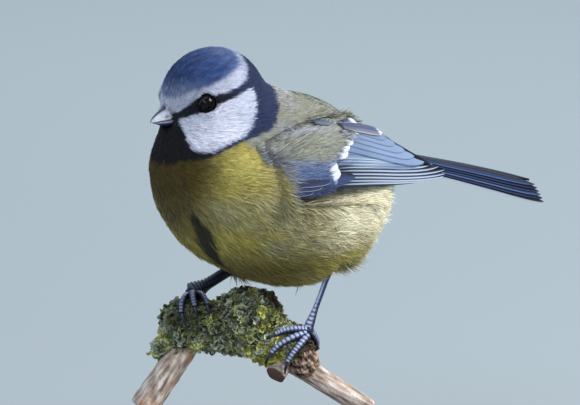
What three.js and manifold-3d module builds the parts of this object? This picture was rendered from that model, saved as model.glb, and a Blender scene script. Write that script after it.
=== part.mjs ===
// A blue tit, life size, gripping a short cut length of lichened twig on a plain display stand.
// Millimetres. +X is the way the body faces, +Y the bird's left, +Z up.
// The origin is the middle of the underside of the stand's base.
import * as THREE from "three";
import { mergeVertices } from "three/addons/utils/BufferGeometryUtils.js";
import Module from "manifold-3d";

const wasm = await Module();
wasm.setup();

// Driving dimensions. Places are counted from the middle of the torso, unless a comment says otherwise.
const GAP = 0.3;
const TORSO = v(-5, 0, 70);
const HEAD = v(21.8, 0, 27.1);
const HEAD_TURN = -8;
const HEAD_PITCH = 17;
const EYE_PLACE = v(6.8, 10.5, 3.2);
const EYE_RADIUS = 2.7;
const EYE_OPENING = 1.95;
const WING_BEND = v(15, 21, 12);
const WING_TIP = v(-44.8, 7.4, 1.6);
const WING_OUT = v(-0.1, 0.9, 0.42);
const TAIL_ROOT = v(-30, 0, 9);
const TAIL_LENGTH = 47;
const TAIL_TURN = 8;
const TAIL_DROP = 12;
const TAIL_ROLL = 18;
const TARSUS_RADIUS = 0.95;
const TOE_RADIUS = 0.92;
const BALL_RADIUS = 1.5;
const PERCH_TURN = 144;
const BASE_RADIUS = 42;
const BASE_THICKNESS = 8;
const ROD_RADIUS = 1.3;

// Small helpers for vectors, solids and repeatable variation
function v(x, y, z) {
  return new THREE.Vector3(x, y, z);
}

const lerp = THREE.MathUtils.lerp;
const smooth = THREE.MathUtils.smoothstep;
const rad = THREE.MathUtils.degToRad;

function seeded(seed) {
  let state = seed;
  return () => {
    state = (state * 16807) % 2147483647;
    return state / 2147483647;
  };
}

function solid(geometry) {
  const bare = geometry.index ? geometry.toNonIndexed() : geometry.clone();
  const places = new THREE.BufferGeometry().setAttribute("position", bare.getAttribute("position"));
  const merged = mergeVertices(places, 1e-4);
  return new wasm.Manifold(
    new wasm.Mesh({
      numProp: 3,
      vertProperties: new Float32Array(merged.attributes.position.array),
      triVerts: new Uint32Array(merged.index.array),
    }),
  );
}

function geometryOf(body) {
  const mesh = body.getMesh();
  return new THREE.BufferGeometry()
    .setAttribute("position", new THREE.BufferAttribute(new Float32Array(mesh.vertProperties), 3))
    .setIndex(new THREE.BufferAttribute(new Uint32Array(mesh.triVerts), 1));
}

function union(solids) {
  return solids.reduce((whole, next) => whole.add(next));
}

// The largest closed surface of a body, once points closer than the merging distance are one
function largest(body) {
  return solid(geometryOf(body))
    .decompose()
    .reduce((a, b) => (a.volume() > b.volume() ? a : b));
}

function mirrored(body) {
  const geometry = geometryOf(body);
  geometry.scale(1, -1, 1);
  const corners = geometry.index.array;
  for (let i = 0; i < corners.length; i += 3) {
    [corners[i], corners[i + 1]] = [corners[i + 1], corners[i]];
  }
  return solid(geometry);
}

// A grid of points as a closed surface: each ring closes on itself, and each end is closed by a fan.
function loft(rings) {
  const sides = rings[0].length;
  const points = rings.flat();
  const middle = (ring) => ring.reduce((sum, p) => sum.add(p), v(0, 0, 0)).divideScalar(sides);
  points.push(middle(rings[0]), middle(rings[rings.length - 1]));
  const first = points.length - 2;
  const faces = [];
  for (let i = 0; i < rings.length - 1; i++) {
    for (let k = 0; k < sides; k++) {
      const a = i * sides + k;
      const b = i * sides + ((k + 1) % sides);
      faces.push(a, b, b + sides, a, b + sides, a + sides);
    }
  }
  const last = (rings.length - 1) * sides;
  for (let k = 0; k < sides; k++) {
    const next = (k + 1) % sides;
    faces.push(first, next, k, first + 1, last + k, last + next);
  }
  return new THREE.BufferGeometry()
    .setAttribute("position", new THREE.Float32BufferAttribute(points.flatMap((p) => p.toArray()), 3))
    .setIndex(faces);
}

// A tube of changing radius with rings at the given times along a path. shape(t, angle) gives the radius,
// side is the way that angle 0 looks, and room makes the whole tube larger, to cut a socket for it.
function tube(points, times, sides, side, shape, room = 0) {
  const [first, second] = points;
  const [before, last] = points.slice(-2);
  const curve = new THREE.CatmullRomCurve3([
    first.clone().addScaledVector(first.clone().sub(second).normalize(), room),
    ...points.slice(1, -1),
    last.clone().addScaledVector(last.clone().sub(before).normalize(), room),
  ]);
  const rings = [];
  for (const t of times) {
    const along = curve.getTangent(t);
    const across = side.clone().addScaledVector(along, -side.dot(along)).normalize();
    const over = along.clone().cross(across);
    const centre = curve.getPoint(t);
    rings.push(
      Array.from({ length: sides }, (_, k) => {
        const angle = (2 * Math.PI * k) / sides;
        const r = shape(t, angle) + room;
        return centre
          .clone()
          .addScaledVector(across, r * Math.cos(angle))
          .addScaledVector(over, r * Math.sin(angle));
      }),
    );
  }
  return solid(loft(rings));
}

const even = (steps) => Array.from({ length: steps + 1 }, (_, i) => i / steps);

// The half of space that lies on the side of a plane that its normal points away from, as a very large box
function behind(point, normal) {
  const size = 300;
  const box = new THREE.BoxGeometry(size, size, size);
  const turn = new THREE.Quaternion().setFromUnitVectors(v(0, 0, 1), normal.clone().normalize());
  box.translate(0, 0, -size / 2).applyQuaternion(turn).translate(point.x, point.y, point.z);
  return solid(box);
}

// The head's own frame: forward along the bill, left, and up
const headTurn = new THREE.Matrix4()
  .makeRotationZ(rad(HEAD_TURN))
  .multiply(new THREE.Matrix4().makeRotationY(rad(HEAD_PITCH)));
const headPlace = headTurn.clone().setPosition(HEAD);
const inHead = (x, y, z) => v(x, y, z).applyMatrix4(headPlace);

// The plumage's outline is a smooth blend of these rounded masses. pitch lifts the front end.
const MASSES = [
  { name: "breast", at: v(12, 0, 2.4), radii: v(24, 23.5, 18), pitch: 26 },
  { name: "belly", at: v(-2.5, 0, -3.5), radii: v(21.5, 20.5, 17), pitch: 0 },
  { name: "mantle", at: v(-3.5, 0, 11), radii: v(20.5, 19, 15.5), pitch: 30 },
  { name: "rump", at: v(-20, 0, 7), radii: v(14, 10, 7), pitch: 6 },
  { name: "tail coverts", at: v(-31, 0.5, 7.4), radii: v(10, 5, 3.6), pitch: 12 },
  { name: "nape", at: v(11, 0, 17), radii: v(14, 15, 13), pitch: 0 },
  { name: "throat", at: v(25.5, 0, 11.5), radii: v(12, 14, 13), pitch: 0 },
  { name: "skull", at: HEAD, radii: v(13.8, 12.8, 13.4), pitch: -HEAD_PITCH },
];
const BLEND = 5;

// Roughly the distance from a point to one mass, below zero inside it
function distanceTo(mass, point) {
  const p = point.clone().sub(mass.at).applyAxisAngle(v(0, 1, 0), rad(mass.pitch ?? 0));
  const scaled = p.clone().divide(mass.radii);
  const twice = scaled.clone().divide(mass.radii);
  const length = scaled.length();
  return length < 1e-6 ? -mass.radii.z : (length * (length - 1)) / twice.length();
}

function blended(masses, blend, point) {
  let near = distanceTo(masses[0], point);
  for (const mass of masses.slice(1)) {
    const d = distanceTo(mass, point);
    const mix = THREE.MathUtils.clamp(0.5 + (0.5 * (d - near)) / blend, 0, 1);
    near = lerp(d, near, mix) - blend * mix * (1 - mix);
  }
  return near;
}

const plumage = (point) => blended(MASSES, BLEND, point);

// A field's zero surface as seen from a centre: each corner of a round mesh is pushed out along its own ray
function shapeFrom(centre, detail, field, farthest, aim = (ray) => ray) {
  const ball = mergeVertices(
    new THREE.IcosahedronGeometry(1, detail).deleteAttribute("normal").deleteAttribute("uv"),
  );
  const places = ball.getAttribute("position");
  for (let i = 0; i < places.count; i++) {
    const ray = aim(v(0, 0, 0).fromBufferAttribute(places, i)).normalize();
    const outAt = (distance) => field(centre.clone().addScaledVector(ray, distance)) > 0;
    let inside = 0;
    let step = 0.5;
    while (inside < farthest && !outAt(inside + step)) inside += step;
    for (let k = 0; k < 12; k++) {
      step /= 2;
      if (!outAt(inside + step)) inside += step;
    }
    const place = centre.clone().addScaledVector(ray, inside);
    places.setXYZ(i, place.x, place.y, place.z);
  }
  return solid(ball);
}

// A closed sheet between two grids of points of one size, with the same diagonals on both faces
function sheet(outer, inner) {
  const rows = outer.length;
  const columns = outer[0].length;
  const below = rows * columns;
  const at = (i, j) => i * columns + j;
  const faces = [];
  const quad = (a, b, c, d) => faces.push(a, b, c, a, c, d);
  for (let i = 0; i < rows - 1; i++) {
    for (let j = 0; j < columns - 1; j++) {
      const [a, b, c, d] = [at(i, j), at(i + 1, j), at(i + 1, j + 1), at(i, j + 1)];
      faces.push(a, b, c, a, c, d, below + a, below + c, below + b, below + a, below + d, below + c);
    }
    quad(at(i, 0), below + at(i, 0), below + at(i + 1, 0), at(i + 1, 0));
    const j = columns - 1;
    quad(at(i + 1, j), below + at(i + 1, j), below + at(i, j), at(i, j));
  }
  for (let j = 0; j < columns - 1; j++) {
    quad(at(0, j + 1), below + at(0, j + 1), below + at(0, j), at(0, j));
    const i = rows - 1;
    quad(at(i, j), below + at(i, j), below + at(i, j + 1), at(i, j + 1));
  }
  const points = [...outer.flat(), ...inner.flat()].flatMap((p) => p.toArray());
  return new THREE.BufferGeometry()
    .setAttribute("position", new THREE.Float32BufferAttribute(points, 3))
    .setIndex(faces);
}

// A value read off a line through [x, y] pairs
function through(pairs, x) {
  let k = 1;
  while (k < pairs.length - 1 && x > pairs[k][0]) k++;
  const [[x0, y0], [x1, y1]] = [pairs[k - 1], pairs[k]];
  return lerp(y0, y1, THREE.MathUtils.clamp((x - x0) / (x1 - x0), 0, 1));
}

// One feather's vane. It is drawn flat from root to tip as [a, b] and laid on a surface by place(a, b, z).
// low and high are the heights of its two long edges, under and tipUnder those of its underside.
const VANE_WIDTH = [[0, 0.7], [0.3, 0.95], [0.6, 1], [0.82, 0.95], [0.94, 0.7], [1, 0.2]];
function vane(place, { root, tip, half, low, high, under, tipUnder = under, steps = 4 }) {
  const outer = [];
  const inner = [];
  for (let i = 0; i <= steps; i++) {
    const t = 1 - (1 - i / steps) ** 1.4;
    const a = lerp(root[0], tip[0], t);
    const b = lerp(root[1], tip[1], t);
    const w = half * through(VANE_WIDTH, t);
    const bottom = lerp(under, tipUnder, smooth(t, 0.6, 1));
    outer.push([place(a, b - w, low), place(a, b + w, high)]);
    inner.push([place(a, b - w, bottom), place(a, b + w, bottom)]);
  }
  return solid(sheet(outer, inner));
}

// The folded left wing. a runs from the bend to the tip, b up across the wing, z out from its surface.
const wingAlong = WING_TIP.clone().sub(WING_BEND).normalize();
const wingOut = WING_OUT.clone().addScaledVector(wingAlong, -WING_OUT.dot(wingAlong)).normalize();
const wingUp = wingOut.clone().cross(wingAlong);
const WING_LOW = [[0, -5.8], [4, -6.8], [19, -5.6], [40, -2.4], [57, -1.6], [63, -0.6]];
const WING_HIGH = [[0, 5.5], [8, 9.5], [20, 11.5], [34, 11.5], [40, 9.5], [54, 4.5], [63, 1]];
const WING_BULGE = 5.2;
const WING_SKIN = -0.8;
const WING_FRONT = -3.4;
const WING_CURVE = 0.03;

function wingPlace(a, b, z) {
  const rise = lerp(WING_FRONT, WING_BULGE, smooth(a, -8, 20));
  const fall = WING_BULGE * smooth(a, 16, 58);
  const height = rise - fall - WING_CURVE * (b - 5) ** 2 + z;
  return WING_BEND.clone()
    .addScaledVector(wingAlong, a)
    .addScaledVector(wingUp, b)
    .addScaledVector(wingOut, height);
}

// The wing's bed of flesh and short feathers, or with room around it the pocket that the body leaves for it
function wingBed(first, last, room, top) {
  const outer = [];
  const inner = [];
  for (const step of even(9)) {
    const a = lerp(first, last, step);
    const low = through(WING_LOW, a) + 0.3 - room * 2;
    const high = through(WING_HIGH, a) - 0.4 + room * 2.2;
    const depth = WING_SKIN - lerp(2.6, 0.7, smooth(a, 10, 50)) - (room && 1.5 * GAP);
    const across = even(3).map((t) => lerp(low, high, t));
    outer.push(across.map((b) => wingPlace(a, b, top)));
    inner.push(across.map((b) => wingPlace(a, b, depth)));
  }
  return solid(sheet(outer, inner));
}

const chance = seeded(41);
const about = (value, spread) => value + (chance() - 0.5) * spread;
const count = (n) => Array.from({ length: n }, (_, k) => k);

// Where the wing's feathers end, as [a, b]: the eight longest flight feathers, then the three tertials
const PRIMARY_TIPS = [
  [57, -0.6],
  [61, -0.1],
  [63, 0.4],
  [62.5, 1.1],
  [61, 1.9],
  [58.5, 2.7],
  [56, 3.4],
  [54, 4],
];
const TERTIAL_TIPS = [[54, 3.9], [47.5, 6.2], [38.5, 8.6]];
// The lines along which two rows of coverts end, as [b, a]
const GREATER_EDGE = [[-3, 15.4], [6, 20.8], [10, 30]];
const MEDIAN_EDGE = [[-3, 10], [6, 13.2], [10, 18]];
const BURIED = -1.2;

function wingVanes() {
  const vanes = [];
  const add = (shape) => vanes.push(vane(wingPlace, { under: BURIED, ...shape }));
  for (const k of count(10)) {
    const tip = PRIMARY_TIPS[k] ?? [50 - k * 0.4, 2.3 + k * 0.2];
    add({ root: [14, -4.6 + 0.72 * k], tip, half: 1.1, low: 0, high: -0.8, tipUnder: -1, steps: 5 });
  }
  for (const k of count(3)) {
    const low = 0.45 + 0.3 * k;
    add({ root: [18, 3 + 2.2 * k], tip: TERTIAL_TIPS[k], half: 1.95, low, high: low - 0.7, steps: 5 });
  }
  for (const k of count(8)) {
    const b = -2.6 + 1.75 * k;
    const a = about(through(GREATER_EDGE, b), 0.8);
    const low = 1 + 0.04 * k;
    add({ root: [a - 9, b - 0.6], tip: [a, b], half: 1.3, low, high: low - 0.6, steps: 3 });
  }
  for (const k of count(4)) {
    const b = -5.2 + 0.8 * k;
    add({ root: [5, b], tip: [14 + 1.8 * k, b + 0.3], half: 0.9, low: 0.6, high: 0, steps: 3 });
  }
  for (const k of count(2)) {
    add({ root: [3, -5.4 + k], tip: [11 + 1.8 * k, -5.7 + k], half: 0.9, low: 1, high: 0.3, steps: 3 });
  }
  for (const k of count(7)) {
    const b = -2.8 + 1.85 * k;
    const a = about(through(MEDIAN_EDGE, b), 0.8);
    add({ root: [a - 6.5, b - 0.4], tip: [a, b], half: 1.3, low: 1.35, high: 0.7, steps: 3 });
  }
  return vanes;
}

const wingLeft = union([wingBed(0.8, 51, 0, WING_SKIN), ...wingVanes()]);
const pocketLeft = wingBed(-1, 64, 1, 9);

// The folded tail. s runs from its root to the tip, q to the bird's right, z up from the central pair.
const tailFlat = v(-Math.cos(rad(TAIL_TURN)), Math.sin(rad(TAIL_TURN)), 0);
const tailAlong = tailFlat.addScaledVector(v(0, 0, -1), Math.tan(rad(TAIL_DROP))).normalize();
const tailRight = v(0, 0, 1).cross(tailAlong).normalize().applyAxisAngle(tailAlong, rad(TAIL_ROLL));
const tailUp = tailAlong.clone().cross(tailRight);
const TAIL_STEP = 0.42;
const TAIL_VANE = 0.6;
const tailPlace = (s, q, z) =>
  TAIL_ROOT.clone().addScaledVector(tailAlong, s).addScaledVector(tailRight, q).addScaledVector(tailUp, z);

function tailVanes() {
  const vanes = [];
  for (let pair = 0; pair < 6; pair++) {
    for (const side of [-1, 1]) {
      const low = -TAIL_STEP * pair - (side > 0 ? 0.15 : 0);
      const tip = [TAIL_LENGTH - 2 + pair * 0.45, side * (0.8 + 0.66 * pair)];
      const root = [1.8, side * (0.2 + 0.16 * pair)];
      vanes.push(vane(tailPlace, { root, tip, half: 2, low, high: low, under: low - TAIL_VANE }));
    }
  }
  return vanes;
}

// The perch's own frame: along its twig towards the tail end, up, and out towards the bird's left
const perchAlong = v(Math.cos(rad(PERCH_TURN)), Math.sin(rad(PERCH_TURN)), 0);
const perchOut = v(Math.sin(rad(PERCH_TURN)), -Math.cos(rad(PERCH_TURN)), 0);
const onPerch = (along, up, out) =>
  v(0, 0, up).addScaledVector(perchAlong, along).addScaledVector(perchOut, out);

// A tarsus with stepped scutes on its front. room makes it larger, to cut the sockets it sits in.
const SCUTES = 7;
function tarsus(from, to, front, room) {
  const times = even(SCUTES).flatMap((t, k) => (k < SCUTES ? [t, t + 0.82 / SCUTES] : [t]));
  const shape = (t, angle) => {
    const wide = TARSUS_RADIUS + 0.3 * smooth(t, 0.75, 1) + 0.25 * (1 - smooth(t, 0, 0.2));
    return wide * (1 + 0.16 * ((t * SCUTES) % 1) * Math.max(0, Math.cos(angle)));
  };
  return tube([from, from.clone().lerp(to, 0.5), to], times, 8, front, shape, room);
}

// The way across the plane in which a toe bends
const hinge = (path) => path[1].clone().sub(path[0]).cross(path[4].clone().sub(path[1])).normalize();

function toe(path, room) {
  const pads = 3;
  const shape = (t) => (TOE_RADIUS - 0.2 * t) * (1 + 0.13 * Math.cos(2 * Math.PI * pads * t));
  return tube(path.slice(0, 4), even(7), 6, hinge(path), shape, room);
}

function claw(path, room) {
  const [from, over, tip] = path.slice(3);
  const start = from.clone().lerp(over, (2 * GAP) / from.distanceTo(over));
  return tube([start, over, tip], even(4), 5, hinge(path), (t) => 0.5 * (1 - t) ** 0.8 + 0.07, room);
}

// Where the toes run in the perch's frame: four places along the toe, then the claw's bend and its tip
const LEFT_TOES = [
  [
    [5.2, -30.6, 9.8], [2.6, -30.2, 10.9], [-0.2, -30.6, 11.3],
    [-2.4, -31.4, 11.5], [-3.9, -32, 11.6], [-4.9, -33.2, 11.4],
  ],
  [
    [5.2, -31.2, 10], [1.9, -32.1, 12.1], [-1.2, -33.7, 12.9],
    [-3.3, -35.8, 12.9], [-4.5, -37.6, 12.5], [-4.7, -39.6, 11.4],
  ],
  [
    [5.6, -31.8, 10], [3.7, -33.7, 12.3], [2.1, -35.6, 13.1],
    [0.6, -37.9, 13.1], [0.1, -39.8, 12.6], [0, -41.6, 11.5],
  ],
  [
    [6, -31, 9], [8, -32.6, 8.4], [9.3, -34.6, 7.2],
    [9.5, -36.6, 5.6], [9, -38, 4.6], [8, -38.9, 3.8],
  ],
];
const RIGHT_TOES = [
  [
    [-22.9, -23.6, 1.4], [-24.2, -23.2, 4.2], [-25.1, -24.4, 6.8],
    [-25.3, -26.6, 8.6], [-24.8, -28.4, 9.4], [-23.8, -30.2, 9.6],
  ],
  [
    [-22.7, -23.4, 1.4], [-22.6, -22.6, 4.2], [-22.5, -23.3, 6.8],
    [-22.1, -25, 8.7], [-21.7, -26.4, 9.4], [-21.1, -27.8, 9.5],
  ],
  [
    [-22.5, -23.6, 1.4], [-21, -22.8, 3.6], [-19.9, -23.2, 6],
    [-19.1, -24.7, 7.9], [-18.7, -26.1, 8.8], [-18.4, -27.5, 9],
  ],
  [
    [-23, -23.6, 0.6], [-23.6, -23.6, -1.6], [-24.2, -25.2, -3.6],
    [-24.6, -27.4, -4.8], [-24.7, -29, -5.2], [-24.4, -30.6, -5.2],
  ],
];

// One leg from its feather boot down to the claws. room is what it asks the perch to leave free.
function leg(boot, knee, ankle, front, toes) {
  const paths = toes.map((path) => path.map((place) => onPerch(...place)));
  const foot = (room) => {
    const ball = new THREE.SphereGeometry(BALL_RADIUS + room, 8, 6).translate(...ankle.toArray());
    return union([solid(ball), ...paths.map((path) => toe(path, room))]);
  };
  const bone = (room) => tarsus(knee, ankle, front, room);
  const thigh = (room) => {
    const way = new THREE.Quaternion().setFromUnitVectors(v(0, 0, 1), ankle.clone().sub(knee).normalize());
    const ball = new THREE.SphereGeometry(1, 12, 8).scale(2.9 + room, 2.9 + room, 4.2 + room);
    return solid(ball.applyQuaternion(way).translate(...boot.toArray()));
  };
  return {
    thigh: thigh(0).subtract(bone(GAP)),
    thighRoom: thigh(GAP),
    tarsus: bone(0),
    foot: foot(0).subtract(bone(GAP)),
    claws: paths.map((path) => claw(path, 0)),
    room: union([foot(GAP), ...paths.map((path) => claw(path, GAP))]),
  };
}

const LEFT_ANKLE = onPerch(5.6, -30.6, 9.2);
const RIGHT_ANKLE = onPerch(-22.8, -23.2, 0.8);
const legLeft = leg(v(-4.4, 10, -16.6), v(-5.2, 10, -17.2), LEFT_ANKLE, v(1, 0.6, 0), LEFT_TOES);
const legRight = leg(v(6, -10.5, -15.6), v(7.2, -10.6, -17.2), RIGHT_ANKLE, v(0.6, 0, 1), RIGHT_TOES);

// The perch: a lump of lichen on the crown of a bent twig, and the twig's two bare arms
const LOBES = [
  { at: onPerch(-28.5, -37.5, 3.6), radii: v(3.6, 3.6, 4.4) },
  { at: onPerch(-23.6, -30.4, 2.2), radii: v(6.3, 6.3, 6.3) },
  { at: onPerch(-16.5, -30.9, 2.9), radii: v(6, 6, 6) },
  { at: onPerch(-9.5, -29.6, 3.9), radii: v(7.6, 7.6, 8) },
  { at: onPerch(-7, -28.4, 4.4), radii: v(6, 6, 6.8) },
  { at: onPerch(-2.5, -34.2, 5.7), radii: v(6.6, 6.6, 6) },
  { at: onPerch(2.5, -35.4, 6.9), radii: v(5.4, 5.4, 4.6) },
];
const LOBE_BLEND = 2;
const bumps = (p, size) =>
  size * Math.sin(1.3 * p.x + 0.9 * p.y) * Math.sin(1.2 * p.z - 0.7 * p.x) +
  0.6 * size * Math.sin(2.9 * p.y + 2.3 * p.z) * Math.sin(2.6 * p.x - 1.9 * p.z);
const lichenField = (p) => blended(LOBES, LOBE_BLEND, p) - bumps(p, 0.5);
const stretched = (ray) => ray.addScaledVector(perchAlong, 1.1 * ray.dot(perchAlong));

const armLeft = (room) => {
  const low = [onPerch(-36.3, -51.2, 6), onPerch(-30.6, -43.2, 4.6)];
  const path = [...low, onPerch(-24, -35.5, 3.2), onPerch(-21, -32, 2.6)];
  const shape = (t, angle) => 3.5 - 0.5 * t + 0.12 * Math.sin(3 * angle + 9 * t);
  return tube(path, even(9), 12, perchOut, shape, room);
};
const armRight = (room) => {
  const low = [onPerch(21.3, -50.6, 10.5), onPerch(11, -44.5, 8.8)];
  const path = [...low, onPerch(3.7, -40, 7.6), onPerch(-1.6, -36.8, 6.6)];
  const shape = (t, angle) => 2.5 + 0.4 * t + 0.1 * Math.sin(3 * angle + 7 * t);
  return tube(path, even(9), 12, perchOut, shape, room);
};
const stubPath = [onPerch(0.6, -38.6, 7), onPerch(-0.6, -40.4, 9), onPerch(-1.7, -41.8, 10.6)];
const stub = (room) => tube(stubPath, even(2), 10, perchAlong, () => 2, room);
const knot = (room) => {
  const centre = onPerch(5.1, -38.6, 8.3);
  return shapeFrom(centre, 2, (p) => p.distanceTo(centre) - 3.3 - room - bumps(p, 0.5), 9);
};
const rodTops = [onPerch(-34.4, -48.2, 5.6), onPerch(18.6, -48.8, 10)];
const baseTop = -TORSO.z + BASE_THICKNESS;
const rod = (top, room) => {
  const low = baseTop - 3 - room;
  const shape = new THREE.CylinderGeometry(ROD_RADIUS + room, ROD_RADIUS + room, top.z + room - low, 16);
  return solid(shape.rotateX(Math.PI / 2).translate(top.x, top.y, (top.z + room + low) / 2));
};
const feetRoom = legLeft.room.add(legRight.room);
const twigLeft = armLeft(0).subtract(rod(rodTops[0], GAP));
const twigRight = union([armRight(0), stub(0), knot(0)]).subtract(feetRoom).subtract(rod(rodTops[1], GAP));
const lichen = shapeFrom(onPerch(-10.5, -31.2, 4), 5, lichenField, 40, stretched)
  .subtract(union([armLeft(GAP), armRight(GAP), stub(GAP), knot(GAP)]))
  .subtract(feetRoom);

const RIM = 1;
const profile = [[0, 0], [BASE_RADIUS - RIM, 0], [BASE_RADIUS, RIM], [BASE_RADIUS, BASE_THICKNESS - RIM]];
profile.push([BASE_RADIUS - RIM, BASE_THICKNESS], [0, BASE_THICKNESS]);
const disc = new THREE.LatheGeometry(profile.map(([x, y]) => new THREE.Vector2(x, y)), 40);
const base = solid(disc.rotateX(Math.PI / 2).translate(0, 0, -TORSO.z))
  .subtract(rod(rodTops[0], GAP))
  .subtract(rod(rodTops[1], GAP));

// The bill in the head's frame. Its halves meet at the line of the mouth.
const BILL_ROOT = 11.2;
const BILL_TIP = 17.9;
const BILL_TOP = [[11.2, 2.7], [13.1, 2.45], [15, 1.95], [16.6, 1.3], [17.9, 0.55]];
const BILL_BOTTOM = [[11.2, -1.9], [13, -1.8], [15, -1.2], [16.6, -0.45], [17.9, 0.2]];
const BILL_WIDTH = [[11.2, 2.5], [13, 2.2], [15, 1.55], [16.6, 0.85], [17.9, 0.22]];
const mouth = (x) => -0.25 + 0.09 * (x - BILL_ROOT);

function billHalf(tip, room, sideUp) {
  const rings = even(7).map((t) => {
    const x = lerp(BILL_ROOT - room, tip, t);
    const line = mouth(x) + sideUp * (GAP / 2 - room);
    const far = through(sideUp > 0 ? BILL_TOP : BILL_BOTTOM, x) - line + sideUp * room;
    const wide = through(BILL_WIDTH, x) + room;
    const arc = even(6).map((k) => {
      const angle = Math.PI * k;
      return inHead(x, wide * Math.cos(angle), line + far * Math.sin(angle) ** 0.85);
    });
    arc.push(inHead(x, 0, line));
    return sideUp > 0 ? arc : arc.reverse();
  });
  return solid(loft(rings));
}

const nostril = (side) => {
  const pit = new THREE.SphereGeometry(1, 8, 6).scale(0.45, 0.4, 0.25);
  return solid(pit.translate(14.1, side * 1.75, 1.1).applyMatrix4(headPlace));
};
const billUpper = billHalf(BILL_TIP, 0, 1).subtract(nostril(1)).subtract(nostril(-1));
const billLower = billHalf(BILL_TIP - 0.5, 0, -1);
const billRoom = billHalf(BILL_TIP, GAP, 1).add(billHalf(BILL_TIP, GAP, -1));

// The eyes, and the lids that ring them
const eyeWay = (side) => v(0.471, side * 0.85, 0.236).normalize();
const EYE_BULGE = 0.4;
const eyeAt = (side) => {
  const rim = v(EYE_PLACE.x, side * EYE_PLACE.y, EYE_PLACE.z);
  return rim.addScaledVector(eyeWay(side), EYE_BULGE - EYE_RADIUS);
};
const eye = (side, room) => {
  const ball = new THREE.SphereGeometry(EYE_RADIUS + room, 14, 8);
  const turn = new THREE.Quaternion().setFromUnitVectors(v(0, 1, 0), eyeWay(side));
  return solid(ball.applyQuaternion(turn).translate(...eyeAt(side).toArray()).applyMatrix4(headPlace));
};
const lids = (side) => {
  const ring = new THREE.TorusGeometry(EYE_OPENING + 0.25, 0.42, 4, 16).scale(1, 0.92, 0.8);
  const turn = new THREE.Quaternion().setFromUnitVectors(v(0, 0, 1), eyeWay(side));
  const place = eyeAt(side).addScaledVector(eyeWay(side), EYE_RADIUS - 0.75);
  return solid(ring.applyQuaternion(turn).translate(...place.toArray()).applyMatrix4(headPlace));
};

// The body cut into its regions. Each plane is a place and the way it faces.
const neckFacing = v(0.5, 0, 0.866);
const planes = {
  neckTop: { at: HEAD.clone().addScaledVector(neckFacing, -10.5), facing: neckFacing },
  neckFoot: { at: HEAD.clone().addScaledVector(neckFacing, -16), facing: neckFacing },
  breast: { at: v(8, 0, 0), facing: v(1, 0, 0.25) },
  flank: { at: v(0, 0, 3), facing: v(-0.12, 0, 1) },
  rump: { at: v(-20, 0, 0), facing: v(-1, 0, 0.1) },
  tail: { at: TAIL_ROOT.clone().addScaledVector(tailAlong, 1.5), facing: tailAlong.clone() },
};
function side(name, sign) {
  const { at, facing } = planes[name];
  const way = facing.clone().normalize().multiplyScalar(sign);
  return behind(at.clone().addScaledVector(way, GAP / 2), way.clone().negate());
}
const cutTo = (body, ...halves) => largest(halves.reduce((rest, half) => rest.intersect(half), body));

const skull = union([shapeFrom(HEAD, 7, plumage, 40), lids(1), lids(-1)])
  .subtract(billRoom)
  .subtract(eye(1, GAP))
  .subtract(eye(-1, GAP));
const torso = shapeFrom(v(1, 0, 4), 8, plumage, 60)
  .subtract(pocketLeft)
  .subtract(mirrored(pocketLeft))
  .subtract(legLeft.thighRoom)
  .subtract(legRight.thighRoom);

const colours = {
  crown: [0x7f9cb8, 0.85, 0],
  collar: [0x2e3a52, 0.85, 0],
  breast: [0x9a9a4a, 0.9, 0],
  belly: [0x8f8f6a, 0.9, 0],
  back: [0x77806a, 0.9, 0],
  wing: [0x4f6a80, 0.75, 0],
  tail: [0x5c7392, 0.75, 0],
  bill: [0x5f6470, 0.45, 0],
  eye: [0x120d0a, 0.08, 0],
  leg: [0x55607f, 0.55, 0],
  claw: [0x2b2e38, 0.4, 0],
  lichen: [0x6f7a3c, 0.95, 0],
  bark: [0x8a7568, 0.9, 0],
  stand: [0x3a2a20, 0.5, 0],
  rod: [0x8c8c8c, 0.35, 0.9],
};
const materials = Object.fromEntries(
  Object.entries(colours).map(([slot, [color, roughness, metalness]]) => [
    slot,
    Object.assign(new THREE.MeshStandardMaterial({ color, roughness, metalness }), { name: slot }),
  ]),
);

const root = new THREE.Group();
root.name = "blue_tit";
function add(name, slot, body) {
  const mesh = new THREE.Mesh(geometryOf(largest(body)), materials[slot]);
  mesh.name = name;
  mesh.position.copy(TORSO);
  root.add(mesh);
}

add("head", "crown", cutTo(skull, side("neckTop", 1)));
add("bill_upper", "bill", billUpper);
add("bill_lower", "bill", billLower);
add("eye_left", "eye", eye(1, 0));
add("eye_right", "eye", eye(-1, 0));
add("neck", "collar", cutTo(torso, side("neckTop", -1), side("neckFoot", 1)));
add("breast", "breast", cutTo(torso, side("neckFoot", -1), side("breast", 1)));
const middle = cutTo(torso, side("neckFoot", -1), side("breast", -1), side("rump", -1));
add("back", "back", cutTo(middle, side("flank", 1)));
add("belly", "belly", cutTo(middle, side("flank", -1)));
add("rump", "back", cutTo(torso, side("rump", 1), side("tail", -1)));
add("tail", "tail", union([cutTo(torso, side("tail", 1)), ...tailVanes()]));
add("wing_left", "wing", wingLeft);
add("wing_right", "wing", mirrored(wingLeft));
for (const [where, { thigh, tarsus: bone, foot, claws }] of [["left", legLeft], ["right", legRight]]) {
  add(`thigh_${where}`, "belly", thigh);
  add(`tarsus_${where}`, "leg", bone);
  add(`foot_${where}`, "leg", foot);
  claws.forEach((one, k) => add(`claw_${where}_${k + 1}`, "claw", one));
}
add("perch_lichen", "lichen", lichen);
add("perch_twig_left", "bark", twigLeft);
add("perch_twig_right", "bark", twigRight);
add("stand_base", "stand", base);
add("stand_rod_left", "rod", rod(rodTops[0], 0));
add("stand_rod_right", "rod", rod(rodTops[1], 0));
export default root;
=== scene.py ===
"""The looks of a life-size blue tit on a lichened twig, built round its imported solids.

Places on the bird and its perch are in millimetres from the middle of the torso: +X forward,
+Y its left, +Z up. The head, wings, tail and perch also have frames of their own.
"""

import math

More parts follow.
